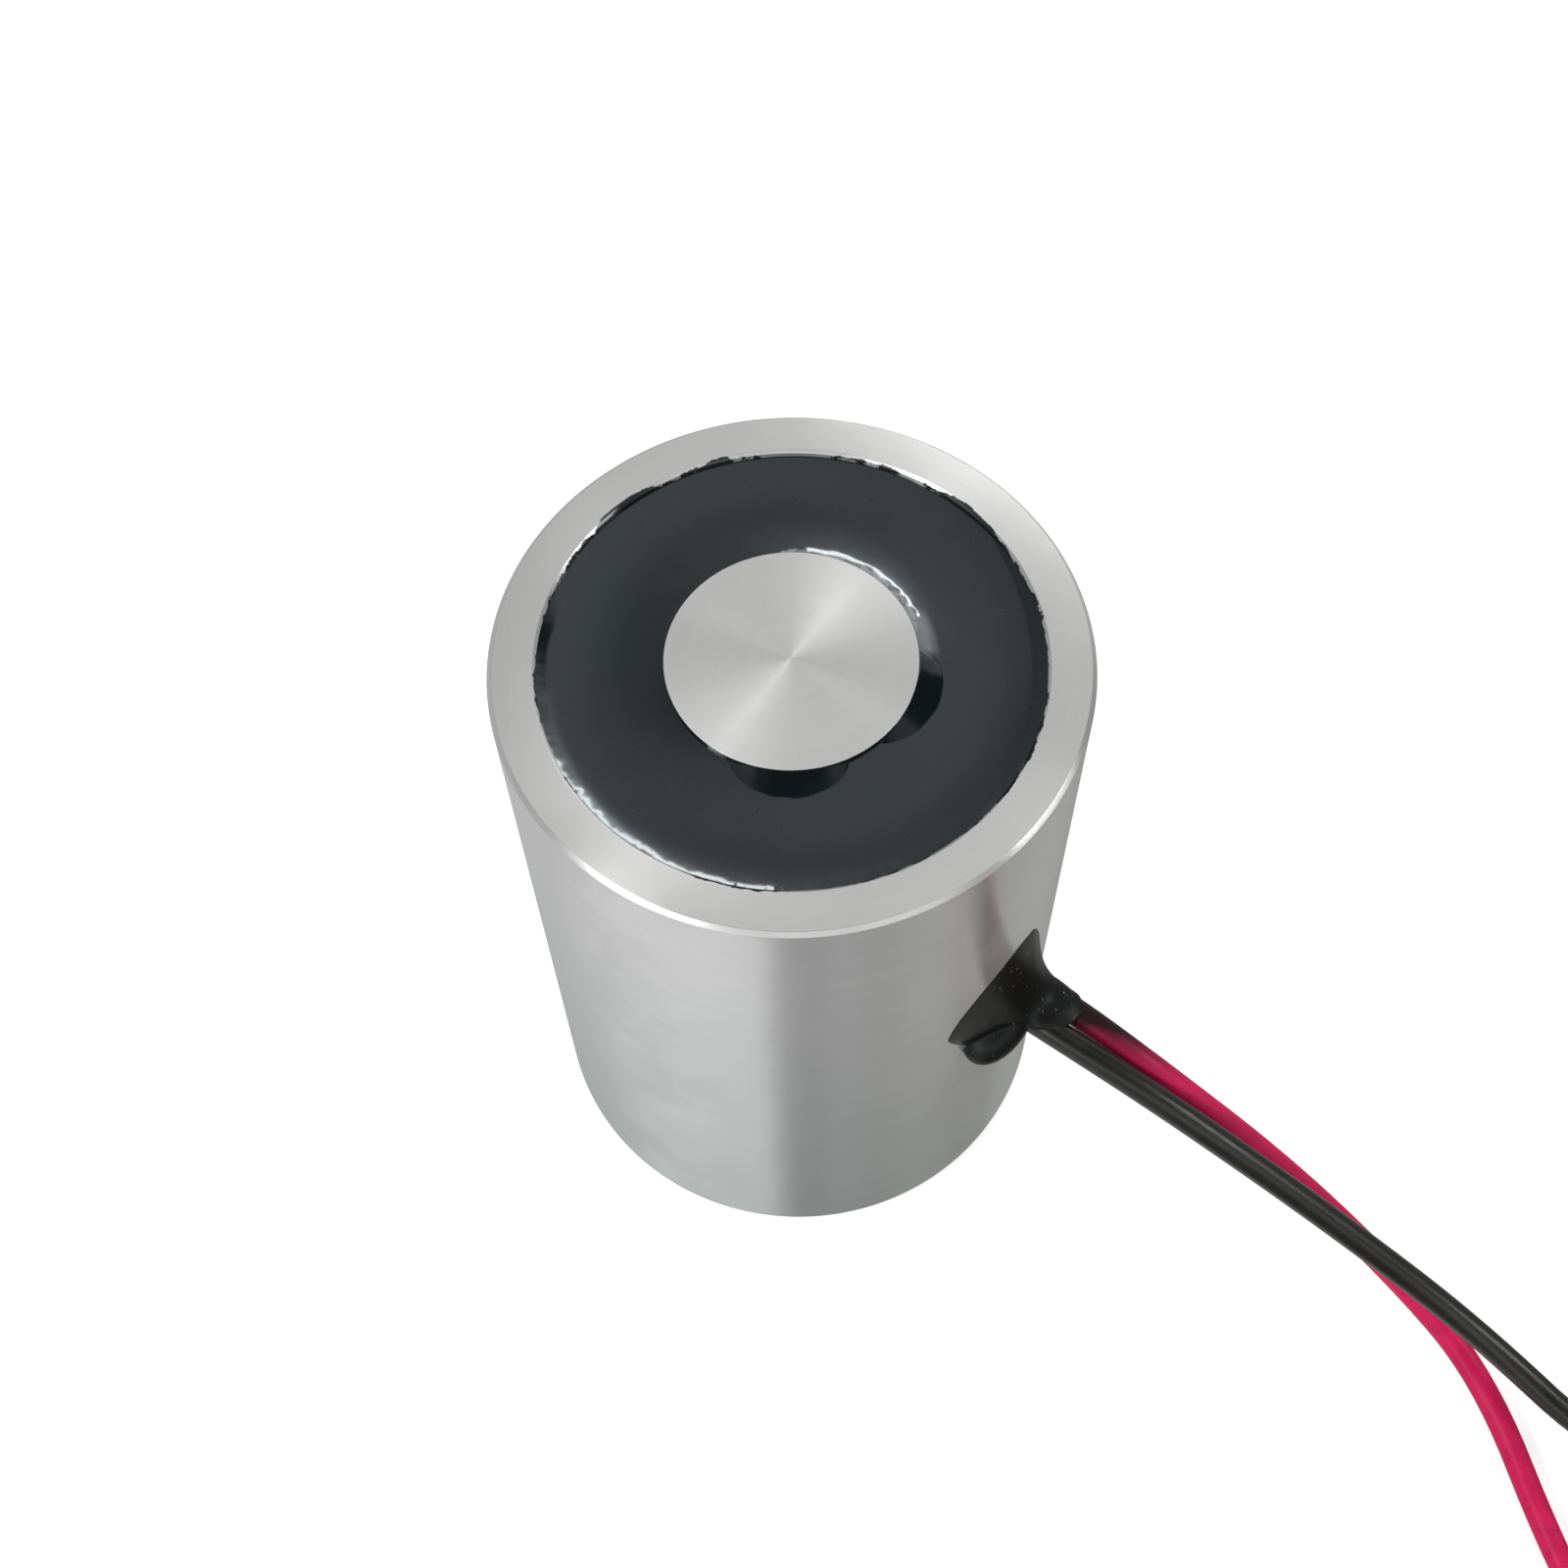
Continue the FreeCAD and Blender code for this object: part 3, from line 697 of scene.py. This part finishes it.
# The resin's climbs up the core and up the bore. at: the middle of the climb, and half of its full
# and of its whole stretch, in degrees. faces: from the place's bearing to the way that it faces.
# mirror: its least slope; given: how much of that the dish and the tail give. width, fade and tail
# (height, reach) are in millimetres. Each noise is its size, its seed and its number of waves.
CORE_CLIMB = {
    "at": (88, 38, 72),
    "faces": 0,
    "mirror": 0.251,
    "given": 0.197,
    "width": 0.56,
    "fade": 0.18,
    "tail": (0.07, 0.87),
    "slope_noise": ((0.01, 7.0, 9.0), (0.002, 7.0, 34.0)),
    "width_noise": ((0.1, 5.0, 3.0), (0.06, 5.0, 12.0)),
}
BORE_CLIMB = {
    "at": (-72, 62, 108),
    "faces": 180,
    "mirror": 0.334,
    "given": 0.217,
    "width": 0.36,
    "fade": 0.22,
    "tail": (0.05, 0.76),
    "slope_noise": ((0.012, 2.0, 11.0), (0.012, 2.0, 38.0), (0.012, 5.0, 70.0)),
    "width_noise": ((0.12, 9.0, 2.5), (0.08, 9.0, 10.0)),
}


def ripple(angle, *noises):
    """Sum of noises round the pot, each given as its size, its seed and its number of waves."""
    total = 0.0
    for size, seed, waves in noises:
        total += size * smooth_noise(waves * math.cos(angle) + seed, waves * math.sin(angle), 0.3 + seed)
    return total


def degrees_away(bearing, centre):
    """Signed angle in degrees from one bearing to another, between -180 and 180."""
    return (bearing - centre + 180) % 360 - 180


def near_angle(bearing, centre, full, whole):
    """1 within the full degrees of a bearing, falling to 0 at the whole ones."""
    return 1 - smoothstep(full, whole, abs(degrees_away(bearing, centre)))


def mirror_slope(bearing, least):
    """Slope at which a bank that faces this bearing in degrees mirrors the window to the camera."""
    growth = 0.00003
    furthest = 80
    away = min(abs(degrees_away(bearing, MIRROR_BEARING)), furthest)
    return least + growth * away ** 2


def lean(distance, slope, width, fade):
    """Height of a bank that rises at one slope over a width and fades out beyond it."""
    if distance < width:
        return slope * (width - distance + fade)
    return slope * fade * math.exp((width - distance) / fade)


def climb_height(climb, angle, distance):
    """Height in millimetres of the resin's climb at a distance in millimetres from the steel."""
    bearing = math.degrees(angle)
    slope = mirror_slope(bearing + climb["faces"], climb["mirror"]) - climb["given"]
    slope += ripple(angle, *climb["slope_noise"])
    width = climb["width"] + ripple(angle, *climb["width_noise"])
    height, reach = climb["tail"]
    tail = height * math.exp(-distance / reach)
    return near_angle(bearing, *climb["at"]) * (lean(distance, slope, width, climb["fade"]) + tail)


# Low banks of resin that lean on the core and on the bore: the bearing of the middle and the reach
# to each side of it in degrees, and the width in millimetres.
CORE_BANKS = ((25, 15, 36, 1.05), (-54, 25, 28, 1.0), (-170, 50, 60, 0.35))
BORE_BANKS = ((28, 42, 44, 0.6),)
BANK_SLOPE = 0.29


def bank_height(banks, angle, distance):
    """Height in millimetres of the bank at a distance in millimetres from the steel."""
    roundness = 0.7
    width = 0.0
    for centre, ahead, behind, most in banks:
        away = degrees_away(math.degrees(angle), centre)
        share = away / (ahead if away > 0 else behind)
        if abs(share) < 1:
            width = max(width, most * (1 - share * share) ** roundness)
    width *= 1 + ripple(angle, (0.06, 3.0, 9.0))
    return max(0.0, width - distance) * BANK_SLOPE


def potting_height(r, angle):
    """Height of the resin's surface at a radius: the dish, both climbs, the banks and slow waves."""
    least_gap = 0.005 * MM
    lift = 0.02
    wave = 0.006
    waves_per_metre = 300
    from_core = (r - CORE_R) / MM
    to_bore = (BORE_R - r) / MM
    across = (r - CORE_R) / (BORE_R - CORE_R)
    x = r * math.cos(angle) * waves_per_metre
    y = r * math.sin(angle) * waves_per_metre
    rise = lift + wave * smooth_noise(x, y, 0.5)
    rise += climb_height(CORE_CLIMB, angle, from_core) + climb_height(BORE_CLIMB, angle, to_bore)
    rise += bank_height(CORE_BANKS, angle, from_core) + bank_height(BORE_BANKS, angle, to_bore)
    height = TOP - RESIN_EDGE + RESIN_DISH * ((2 * across - 1) ** 2 - 1) + rise * MM
    return min(height, TOP - least_gap)


def make_potting():
    """Resin that fills the pot round the bobbin, dished where it climbs both steel edges."""
    level = TOP - RESIN_EDGE
    creep = 0.08 * MM
    steps = 130
    profile = [Vector(p) for p in (
        (CORE_R, FLANGE_TOP), (FLANGE_R, FLANGE_TOP), (FLANGE_R, COIL_HIGH), (TAPE_R, COIL_HIGH),
        (TAPE_R, COIL_LOW), (FLANGE_R, COIL_LOW), (FLANGE_R, FLOOR_Z), (BORE_R, FLOOR_Z),
        (BORE_R, TOP - 1.2 * MM),
    )]
    for i in range(steps + 1):
        ease = 0.5 - 0.5 * math.cos(math.pi * i / steps)
        profile.append(Vector((BORE_R - (BORE_R - CORE_R) * ease, level)))

    def shift(r, z, angle):
        if abs(z - level) > 1e-6:
            return r, z
        radius = r
        if r > BORE_R - 1e-7:
            radius += creep * max(0.0, ripple(angle, (1.0, 2.0, 11.0), (0.5, 2.0, 38.0)))
        return radius, potting_height(r, angle)

    mesh = lathe("potting_fill", profile, 540, shift)
    new_piece("potting_fill", mesh, potting_resin, "casting_resin", "potting")


# Leads

# Routes and put away coils, in millimetres and degrees. A lead runs straight over the entry gaps
# before it touches its coil. heading: the bearing of that straight run; turn: 1 for a coil that
# turns to the left and -1 to the right; level: the coil's height; tail_at: where its tail begins.
COIL_CENTRE = (60.8, -0.75)
COIL_OUTER = 9.7
COIL_INNER = 6.1
TAIL_RADIUS = 4.4
TAIL_TURN = 100.0
PER_TURN = 16
TAIL_POINTS = 4
ENTRY_GAPS = (5.5, 5.4)
ROUTES = {
    "red": {
        "heading": -33.0,
        "turn": 1,
        "level": 0.65,
        "tail_at": 131.0,
        "points": [(10.35, 0.75, 17.5), (14.4, 0.75, 17.5), (19.6, 1.15, 15.5), (26.6, 2.9, 9.35),
                   (33.6, 3.7, 3.45), (39.9, 2.55, 0.85)],
    },
    "black": {
        "heading": 30.0,
        "turn": -1,
        "level": 1.95,
        "tail_at": 226.0,
        "points": [(10.35, -0.75, 17.5), (15.0, -0.75, 17.5), (21.4, 0.05, 15.25), (29.6, 1.65, 10.1),
                   (38.0, 3.05, 4.55)],
    },
}


def lead_points(route):
    """Control points in millimetres: the free run, the put away coil and the tail in it."""
    turn = route["turn"]
    ahead = flat_unit(route["heading"])
    centre = Vector((*COIL_CENTRE, route["level"]))
    touch_at = route["heading"] - turn * 90
    touch = centre + flat_unit(touch_at) * COIL_OUTER
    last = touch - ahead * ENTRY_GAPS[0]
    points = [Vector(p) for p in route["points"]] + [last - ahead * ENTRY_GAPS[1], last]

    whole = ((route["tail_at"] - touch_at) * turn) % 360 + 720
    count = round(whole / 360 * PER_TURN)
    step = whole / count
    outside_arc = 1 / math.cos(math.radians(step / 2))
    for i in range(count):
        angle = (i + 0.5) * step
        radius = COIL_OUTER + (COIL_INNER - COIL_OUTER) * angle / whole
        points.append(centre + flat_unit(touch_at + turn * angle) * radius * outside_arc)

    tail_centre = centre + flat_unit(route["tail_at"]) * (COIL_INNER - TAIL_RADIUS)
    reach = TAIL_RADIUS / math.cos(math.radians(TAIL_TURN / TAIL_POINTS / 2))
    for i in range(TAIL_POINTS):
        angle = route["tail_at"] + turn * TAIL_TURN * (i + 0.5) / TAIL_POINTS
        points.append(tail_centre + flat_unit(angle) * reach)
    end_angle = route["tail_at"] + turn * TAIL_TURN
    end = tail_centre + flat_unit(end_angle) * TAIL_RADIUS
    points.append(end)
    return points, end, flat_unit(end_angle + turn * 90)


def make_lead(colour, material):
    """One insulated lead, with the twisted strands that its stripped end shows."""
    points, end, way = lead_points(ROUTES[colour])
    curve = bpy.data.curves.new(colour + "_wire", "CURVE")
    curve.dimensions = "3D"
    curve.resolution_u = 8
    curve.bevel_depth = LEAD_D / 2
    curve.bevel_resolution = 7
    curve.use_fill_caps = True
    spline = curve.splines.new("NURBS")
    spline.points.add(len(points) - 1)
    for target, point in zip(spline.points, points):
        target.co = (*(point * MM), 1.0)
    spline.order_u = 3
    spline.use_endpoint_u = True
    wire = new_piece(colour + "_wire", curve, material, colour + "_pvc", colour + "_lead",
                     colour + "_lead_coil")
    tip = make_tip(colour, end * MM, way)


def make_tip(colour, start, way):
    """Seven tinned strands, one in the middle and six twisted round it."""
    strand_r = CONDUCTOR_R / 3
    from_middle = 2 * strand_r * 0.98
    inside = 0.3 * MM
    twist = 1.6
    rings = 40
    around = 10
    side = Vector((-way.y, way.x, 0))
    up = Vector((0, 0, 1))
    vertices = []
    faces = []
    for strand in range(7):
        base = len(vertices)
        length = TIP_LENGTH * (1 - 0.035 * ((strand * 3) % 4))
        for i in range(rings):
            t = i / (rings - 1)
            at = start + way * (length * t - inside * (1 - t))
            turn = 2 * math.pi * (strand / 6 + twist * t)
            out = 0 if strand == 6 else from_middle
            centre = at + (side * math.cos(turn) + up * math.sin(turn)) * out
            for j in range(around):
                a = 2 * math.pi * j / around
                vertices.append(centre + (side * math.cos(a) + up * math.sin(a)) * strand_r)
        for i in range(rings - 1):
            for j in range(around):
                k = (j + 1) % around
                a = base + i * around
                b = a + around
                faces.append((a + j, b + j, b + k, a + k))
        faces.append(tuple(base + j for j in range(around)))
        faces.append(tuple(base + (rings - 1) * around + j for j in reversed(range(around))))
    mesh = bpy.data.meshes.new(colour + "_tip")
    mesh.from_pydata([tuple(v) for v in vertices], [], faces)
    outward(mesh)
    shade_smooth(mesh)
    return new_piece(colour + "_tip", mesh, tinned_copper, "tinned_copper", colour + "_conductor_tip")


# Resin bead at the exit

# Where the bead's edge lies on the pot: azimuth in degrees and height in millimetres.
BEAD_EDGE = [
    (3.5, 23.0), (0.9, 23.35), (-2.8, 23.54), (-8.0, 23.17), (-14.1, 22.3), (-18.9, 21.06), (-21.6, 19.7),
    (-21.2, 18.9), (-17.6, 17.5), (-12.5, 15.6), (-5.5, 13.9), (2.0, 13.6), (7.4, 14.8), (9.6, 16.8),
    (9.4, 18.8), (7.0, 21.2),
]

# Where the trumpet ends along X, on the black lead's side and above the red one, and how it flares.
NECK_NEAR = 13.9 * MM
NECK_FAR = 15.1 * MM
FAR_SIDE = math.radians(50)
FLARE_NEAR = 2.7
FLARE_FAR = 3.5

# The trumpet's neck round both leads: half its width and half its height, and how far it is moved.
NECK_SIDE = 1.41 * MM
NECK_UP = 0.7 * MM
NECK_SHIFT = 0.12 * MM
NECK_DROP = 0.04 * MM

# Where the leads begin to bend down, and by how much the bead follows them.
BEND_AT = 14.4 * MM
BEND_SLOPE = 0.22

# Sections that close the neck: how much further along X in millimetres, and their size.
NECK_END = ((0.3, 0.91), (0.7, 0.76))

# Film that the resin left on the red lead: points and radii in millimetres.
FILM_PATH = [(13.3, 0.79, 17.6), (13.9, 0.81, 17.57), (14.3, 0.82, 17.52), (14.7, 0.83, 17.4)]
FILM_RADII = [0.72, 0.7, 0.67, 0.6]

# Sag below the exit: its middle and half sizes in millimetres, and its tilt about X.
SAG_CENTRE = Vector((12.55, -1.5, 17.0)) * MM
SAG_SIZE = Vector((1.4, 2.35, 1.15)) * MM
SAG_TILT = math.radians(16.0)


def closed_curve(points, count):
    """Points evenly along a smooth closed curve through the given ones."""
    pieces = 12
    dense = []
    total = len(points)
    for i in range(total):
        p0, p1, p2, p3 = (points[(i + k - 1) % total] for k in range(4))
        for step in range(pieces):
            t = step / pieces
            dense.append(0.5 * ((2 * p1) + (p2 - p0) * t + (2 * p0 - 5 * p1 + 4 * p2 - p3) * t * t
                                + (3 * p1 - p0 - 3 * p2 + p3) * t * t * t))
    lengths = [0.0]
    for a, b in zip(dense, dense[1:] + dense[:1]):
        lengths.append(lengths[-1] + (b - a).length)
    result = []
    place = 0
    for i in range(count):
        want = lengths[-1] * i / count
        while lengths[place + 1] < want:
            place += 1
        share = (want - lengths[place]) / (lengths[place + 1] - lengths[place])
        result.append(dense[place].lerp(dense[(place + 1) % len(dense)], share))
    return result


def bead_ring(edge, share, depth):
    """One section of the trumpet, from the wall at 0 to the leads at 1."""
    ring = []
    middle = Vector((0.0, EXIT_Z))
    reach = SHELL_R + depth
    for p in edge:
        way = p - middle
        angle = math.atan2(way.y, way.x)
        far = 0.5 + 0.5 * math.cos(angle - FAR_SIDE)
        neck = Vector((NECK_SIDE * math.cos(angle), NECK_UP * math.sin(angle)))
        flare = FLARE_NEAR + (FLARE_FAR - FLARE_NEAR) * far
        spot = neck.lerp(way, (1 - share) ** flare)
        arc = spot.x / SHELL_R
        end = NECK_NEAR + (NECK_FAR - NECK_NEAR) * far
        x = reach * math.cos(arc) * (1 - share) + end * share
        y = reach * math.sin(arc) + NECK_SHIFT * share
        drop = (NECK_DROP + max(0.0, x - BEND_AT) * BEND_SLOPE) * share ** 2
        ring.append(Vector((x, y, middle.y + spot.y - drop)))
    return ring


def sleeve_rings(points, radii):
    """Round sections along a line of points in millimetres, each with its own radius."""
    around = 32
    rings = []
    for i, (point, radius) in enumerate(zip(points, radii)):
        before = Vector(points[max(i - 1, 0)])
        after = Vector(points[min(i + 1, len(points) - 1)])
        along = (after - before).normalized()
        side = along.cross(Vector((0, 0, 1))).normalized()
        up = side.cross(along)
        ring = []
        for j in range(around):
            a = 2 * math.pi * j / around
            ring.append((Vector(point) + (side * math.cos(a) + up * math.sin(a)) * radius) * MM)
        rings.append(ring)
    return rings


def make_bead():
    """Trumpet of resin from the pot's wall to the leads, with a sag below and a film on the red lead."""
    sunk = 0.25 * MM
    steps = 30
    edge = [Vector((math.radians(azimuth) * SHELL_R, z * MM)) for azimuth, z in BEAD_EDGE]
    edge = closed_curve(edge, 96)
    rings = [bead_ring(edge, 0.0, -sunk)]
    rings += [bead_ring(edge, (i / steps) ** 1.25, 0.0) for i in range(steps + 1)]
    end = rings[-1]
    middle = sum(end, Vector()) / len(end)
    for further, size in NECK_END:
        onward = Vector((further, 0, -0.25 * further)) * MM
        rings.append([middle + (p - middle) * size + onward for p in end])
    mesh = rings_to_mesh("lead_bead", rings, closed=False)
    film = rings_to_mesh("film", sleeve_rings(FILM_PATH, FILM_RADII), closed=False)
    work = bmesh.new()
    work.from_mesh(mesh)
    work.from_mesh(film)
    bpy.data.meshes.remove(film)
    sag = bmesh.ops.create_uvsphere(work, u_segments=32, v_segments=20, radius=1.0)
    place = Matrix.LocRotScale(SAG_CENTRE, Matrix.Rotation(SAG_TILT, 3, "X"), SAG_SIZE)
    bmesh.ops.transform(work, matrix=place, verts=sag["verts"])
    work.to_mesh(mesh)
    work.free()
    piece = new_piece("lead_bead", mesh, exit_resin, "exit_resin", "lead_exit_seal")
    remesh = piece.modifiers.new("one_skin", "REMESH")
    remesh.mode = "VOXEL"
    remesh.voxel_size = 0.07 * MM
    remesh.use_smooth_shade = True
    relax = piece.modifiers.new("relax", "SMOOTH")
    relax.factor = 0.5
    relax.iterations = 10
    settle(piece)
    shade_smooth(piece.data)


# Hidden pieces keep their CAD form


def finish_nodes():
    for names, material in (
        (("bobbin",), bobbin_nylon),
        (("winding",), winding_copper),
        (("winding_tape",), amber_tape),
        (("red_conductor_inner", "black_conductor_inner"), tinned_copper),
        (("red_solder_joint", "black_solder_joint"), solder_metal),
        (("red_splice_sleeve", "black_splice_sleeve", "start_wire_sleeve"), glass_sleeving),
    ):
        for name in names:
            for material_slot in nodes[name].material_slots:
                material_slot.material = material


# Floor, world and lamps

# Directions in the room, as azimuth and elevation in degrees. A blob also has the angle within
# which it is full and the one beyond which it is gone.
WINDOW_GLOW = (104, 30)
BESIDE_WINDOW = (60, 44, 11, 21)
BEFORE_CAMERA = (-53, 63, 16, 32)
ABOVE = (93, 76, 5, 30)
AHEAD = (-64, 24, 38, 66)
FRONT_RIGHT = (0, -20, 48, 80)


def make_floor():
    """Plain pale floor: white to the camera, with the soft shadow that the magnet casts."""
    gap = 0.02 * MM
    reach = 3.0
    brightness = 0.62
    work = bmesh.new()
    bmesh.ops.create_grid(work, x_segments=1, y_segments=1, size=reach)
    mesh = bpy.data.meshes.new("floor")
    work.to_mesh(mesh)
    work.free()
    floor = bpy.data.objects.new("floor", mesh)
    bpy.context.scene.collection.objects.link(floor)
    floor.location.z = -gap
    floor.visible_glossy = False
    material = bpy.data.materials.new("floor")
    material.use_nodes = True
    tree = material.node_tree
    tree.nodes.clear()
    ray = add(tree, "ShaderNodeLightPath").outputs["Is Camera Ray"]
    diffuse = add(tree, "ShaderNodeBsdfDiffuse", {"Color": (brightness, brightness, brightness, 1.0)})
    glow = add(tree, "ShaderNodeEmission", {"Strength": times(tree, ray, brightness)})
    both = add(tree, "ShaderNodeAddShader", {0: diffuse.outputs[0], 1: glow.outputs[0]})
    out = add(tree, "ShaderNodeOutputMaterial")
    tree.links.new(both.outputs[0], out.inputs["Surface"])
    mesh.materials.append(material)


def blob_node(tree, way, azimuth, elevation, inner, outer):
    """1 within the inner angle of a direction, falling to 0 at the outer angle."""
    near = dot_node(tree, way, direction(azimuth, elevation))
    edges = (math.cos(math.radians(outer)), math.cos(math.radians(inner)))
    return range_node(tree, near, *edges, 0.0, 1.0, "SMOOTHSTEP")


COOL = (0.98, 1.0, 0.995)
WARM = (1.0, 1.0, 0.965)

# Light from the table all round: bearing in degrees, level and tint.
TABLE_LIGHT = (
    (-180, 0.72, COOL), (-150, 0.66, COOL), (-137, 0.64, COOL), (-125, 0.7, COOL), (-100, 0.94, COOL),
    (-79, 1.18, COOL), (-70, 1.42, COOL), (-60, 0.5, COOL), (-46, 0.46, COOL), (-36, 0.61, COOL),
    (-27, 0.52, COOL), (-18, 0.5, WARM), (-9, 0.61, WARM), (0, 0.72, WARM), (9, 0.61, WARM),
    (20, 0.58, WARM), (45, 0.6, WARM), (60, 0.57, WARM), (100, 0.49, COOL), (150, 0.66, COOL),
)

# How fully the table darkens close to the magnet: bearing in degrees and share.
FOOT_SHADE = ((-180, 1.0), (-76, 1.0), (-60, 0.45), (90, 0.45), (130, 1.0))


def bearing_ramp(tree, turn, stops):
    """A colour that changes with the bearing; turn is 0 at -180 degrees and 1 at 180."""
    return ramp_node(tree, turn, [((degrees + 180.0) / 360.0, colour) for degrees, colour in stops])


def table_light(tree, way, parts):
    """Light of the table, darker close to the magnet and at the front right."""
    # Depth is the sine of the angle below the horizon; each shade changes between two depths.
    foot_depths = (0.912, 0.955)
    foot_dark = 0.4
    front_depths = (0.7, 0.84)
    front_dark = 0.72
    azimuth = math_node(tree, "ARCTAN2", parts[1], parts[0])
    turn = math_node(tree, "ADD", math_node(tree, "DIVIDE", azimuth, 2 * math.pi), 0.5)
    light = bearing_ramp(tree, turn, [(at, toned(tint, level)) for at, level, tint in TABLE_LIGHT])
    share = bearing_ramp(tree, turn, [(at, (level, level, level)) for at, level in FOOT_SHADE])
    depth = times(tree, parts[2], -1.0)
    foot = times(tree, share, range_node(tree, depth, *foot_depths, 0.0, foot_dark))
    front = times(tree, blob_node(tree, way, *FRONT_RIGHT),
                  range_node(tree, depth, *front_depths, front_dark, 0.0))
    kept = times(tree, rest_of_one(tree, foot), rest_of_one(tree, front))
    return add(tree, "ShaderNodeVectorMath", {0: light, "Scale": kept}, operation="SCALE").outputs[0]


def room_light(tree, way, parts):
    """Light of the room: a glow round the window, light from above and ahead, and two darker places."""
    walls = 0.37
    window = 2.9
    window_spread = math.radians(11.4)
    beside_dark = 0.88
    before_dark = 0.84
    above = 0.4
    ahead = 1.6
    # The light ahead is a level band: the height of its middle, and the gaps where it ends and is full.
    band_height = 0.42
    band_gaps = (0.24, 0.1)
    away = math_node(tree, "ARCCOSINE", dot_node(tree, way, direction(*WINDOW_GLOW)))
    glow = math_node(tree, "POWER", math.e, math_node(tree, "DIVIDE", away, -window_spread))
    beside = rest_of_one(tree, times(tree, blob_node(tree, way, *BESIDE_WINDOW), beside_dark))
    before = rest_of_one(tree, times(tree, blob_node(tree, way, *BEFORE_CAMERA), before_dark))
    level = math_node(tree, "ADD", walls, times(tree, glow, window))
    level = times(tree, level, times(tree, beside, before))
    level = math_node(tree, "ADD", level, times(tree, blob_node(tree, way, *ABOVE), above))
    from_band = math_node(tree, "ABSOLUTE", math_node(tree, "SUBTRACT", parts[2], band_height))
    band = range_node(tree, from_band, *band_gaps, 0.0, 1.0, "SMOOTHSTEP")
    band = times(tree, band, blob_node(tree, way, *AHEAD))
    level = math_node(tree, "ADD", level, times(tree, band, ahead))
    return add(tree, "ShaderNodeCombineColor", {0: level, 1: level, 2: level}).outputs[0]


def make_world():
    """Soft room light from a window behind, over a pale table; plain white to the camera."""
    world = bpy.data.worlds.new("world")
    bpy.context.scene.world = world
    world.use_nodes = True
    tree = world.node_tree
    tree.nodes.clear()
    way = add(tree, "ShaderNodeTexCoord").outputs["Generated"]
    parts = parts_of(tree, way)
    above = range_node(tree, parts[2], -0.05, 0.12, 0.0, 1.0)
    light = mix_colour(tree, above, table_light(tree, way, parts), room_light(tree, way, parts))
    ray = add(tree, "ShaderNodeLightPath").outputs["Is Camera Ray"]
    colour = mix_colour(tree, ray, light, (1.0, 1.0, 1.0, 1.0))
    background = add(tree, "ShaderNodeBackground", {"Color": colour, "Strength": 1.0})
    out = add(tree, "ShaderNodeOutputWorld")
    tree.links.new(background.outputs[0], out.inputs["Surface"])


def add_lamp(name, azimuth, elevation, distance, width, height, power):
    """Soft box that looks at the middle of the magnet, from an azimuth and an elevation in degrees."""
    aim = Vector((0, 0, 20)) * MM
    data = bpy.data.lights.new(name, "AREA")
    data.shape = "RECTANGLE"
    data.size = width
    data.size_y = height
    data.energy = power
    lamp = bpy.data.objects.new(name, data)
    bpy.context.scene.collection.objects.link(lamp)
    way = direction(azimuth, elevation)
    lamp.location = way * distance + aim
    lamp.rotation_euler = (-way).to_track_quat("-Z", "Y").to_euler()


def make_lamps():
    add_lamp("window", 107, 27, distance=0.8, width=0.42, height=0.04, power=0.7)
    add_lamp("front", -116, 48, distance=0.7, width=0.12, height=0.09, power=1.7)
    add_lamp("left_low", -95, 24, distance=0.6, width=0.3, height=0.12, power=0.5)
    add_lamp("right", 29, 31, distance=0.7, width=0.3, height=0.14, power=1.2)


make_camera()
make_shell()
make_core()
make_potting()
make_lead("red", red_vinyl)
make_lead("black", black_vinyl)
make_bead()
finish_nodes()
make_floor()
make_world()
make_lamps()

bpy.context.scene.view_settings.view_transform = "Standard"
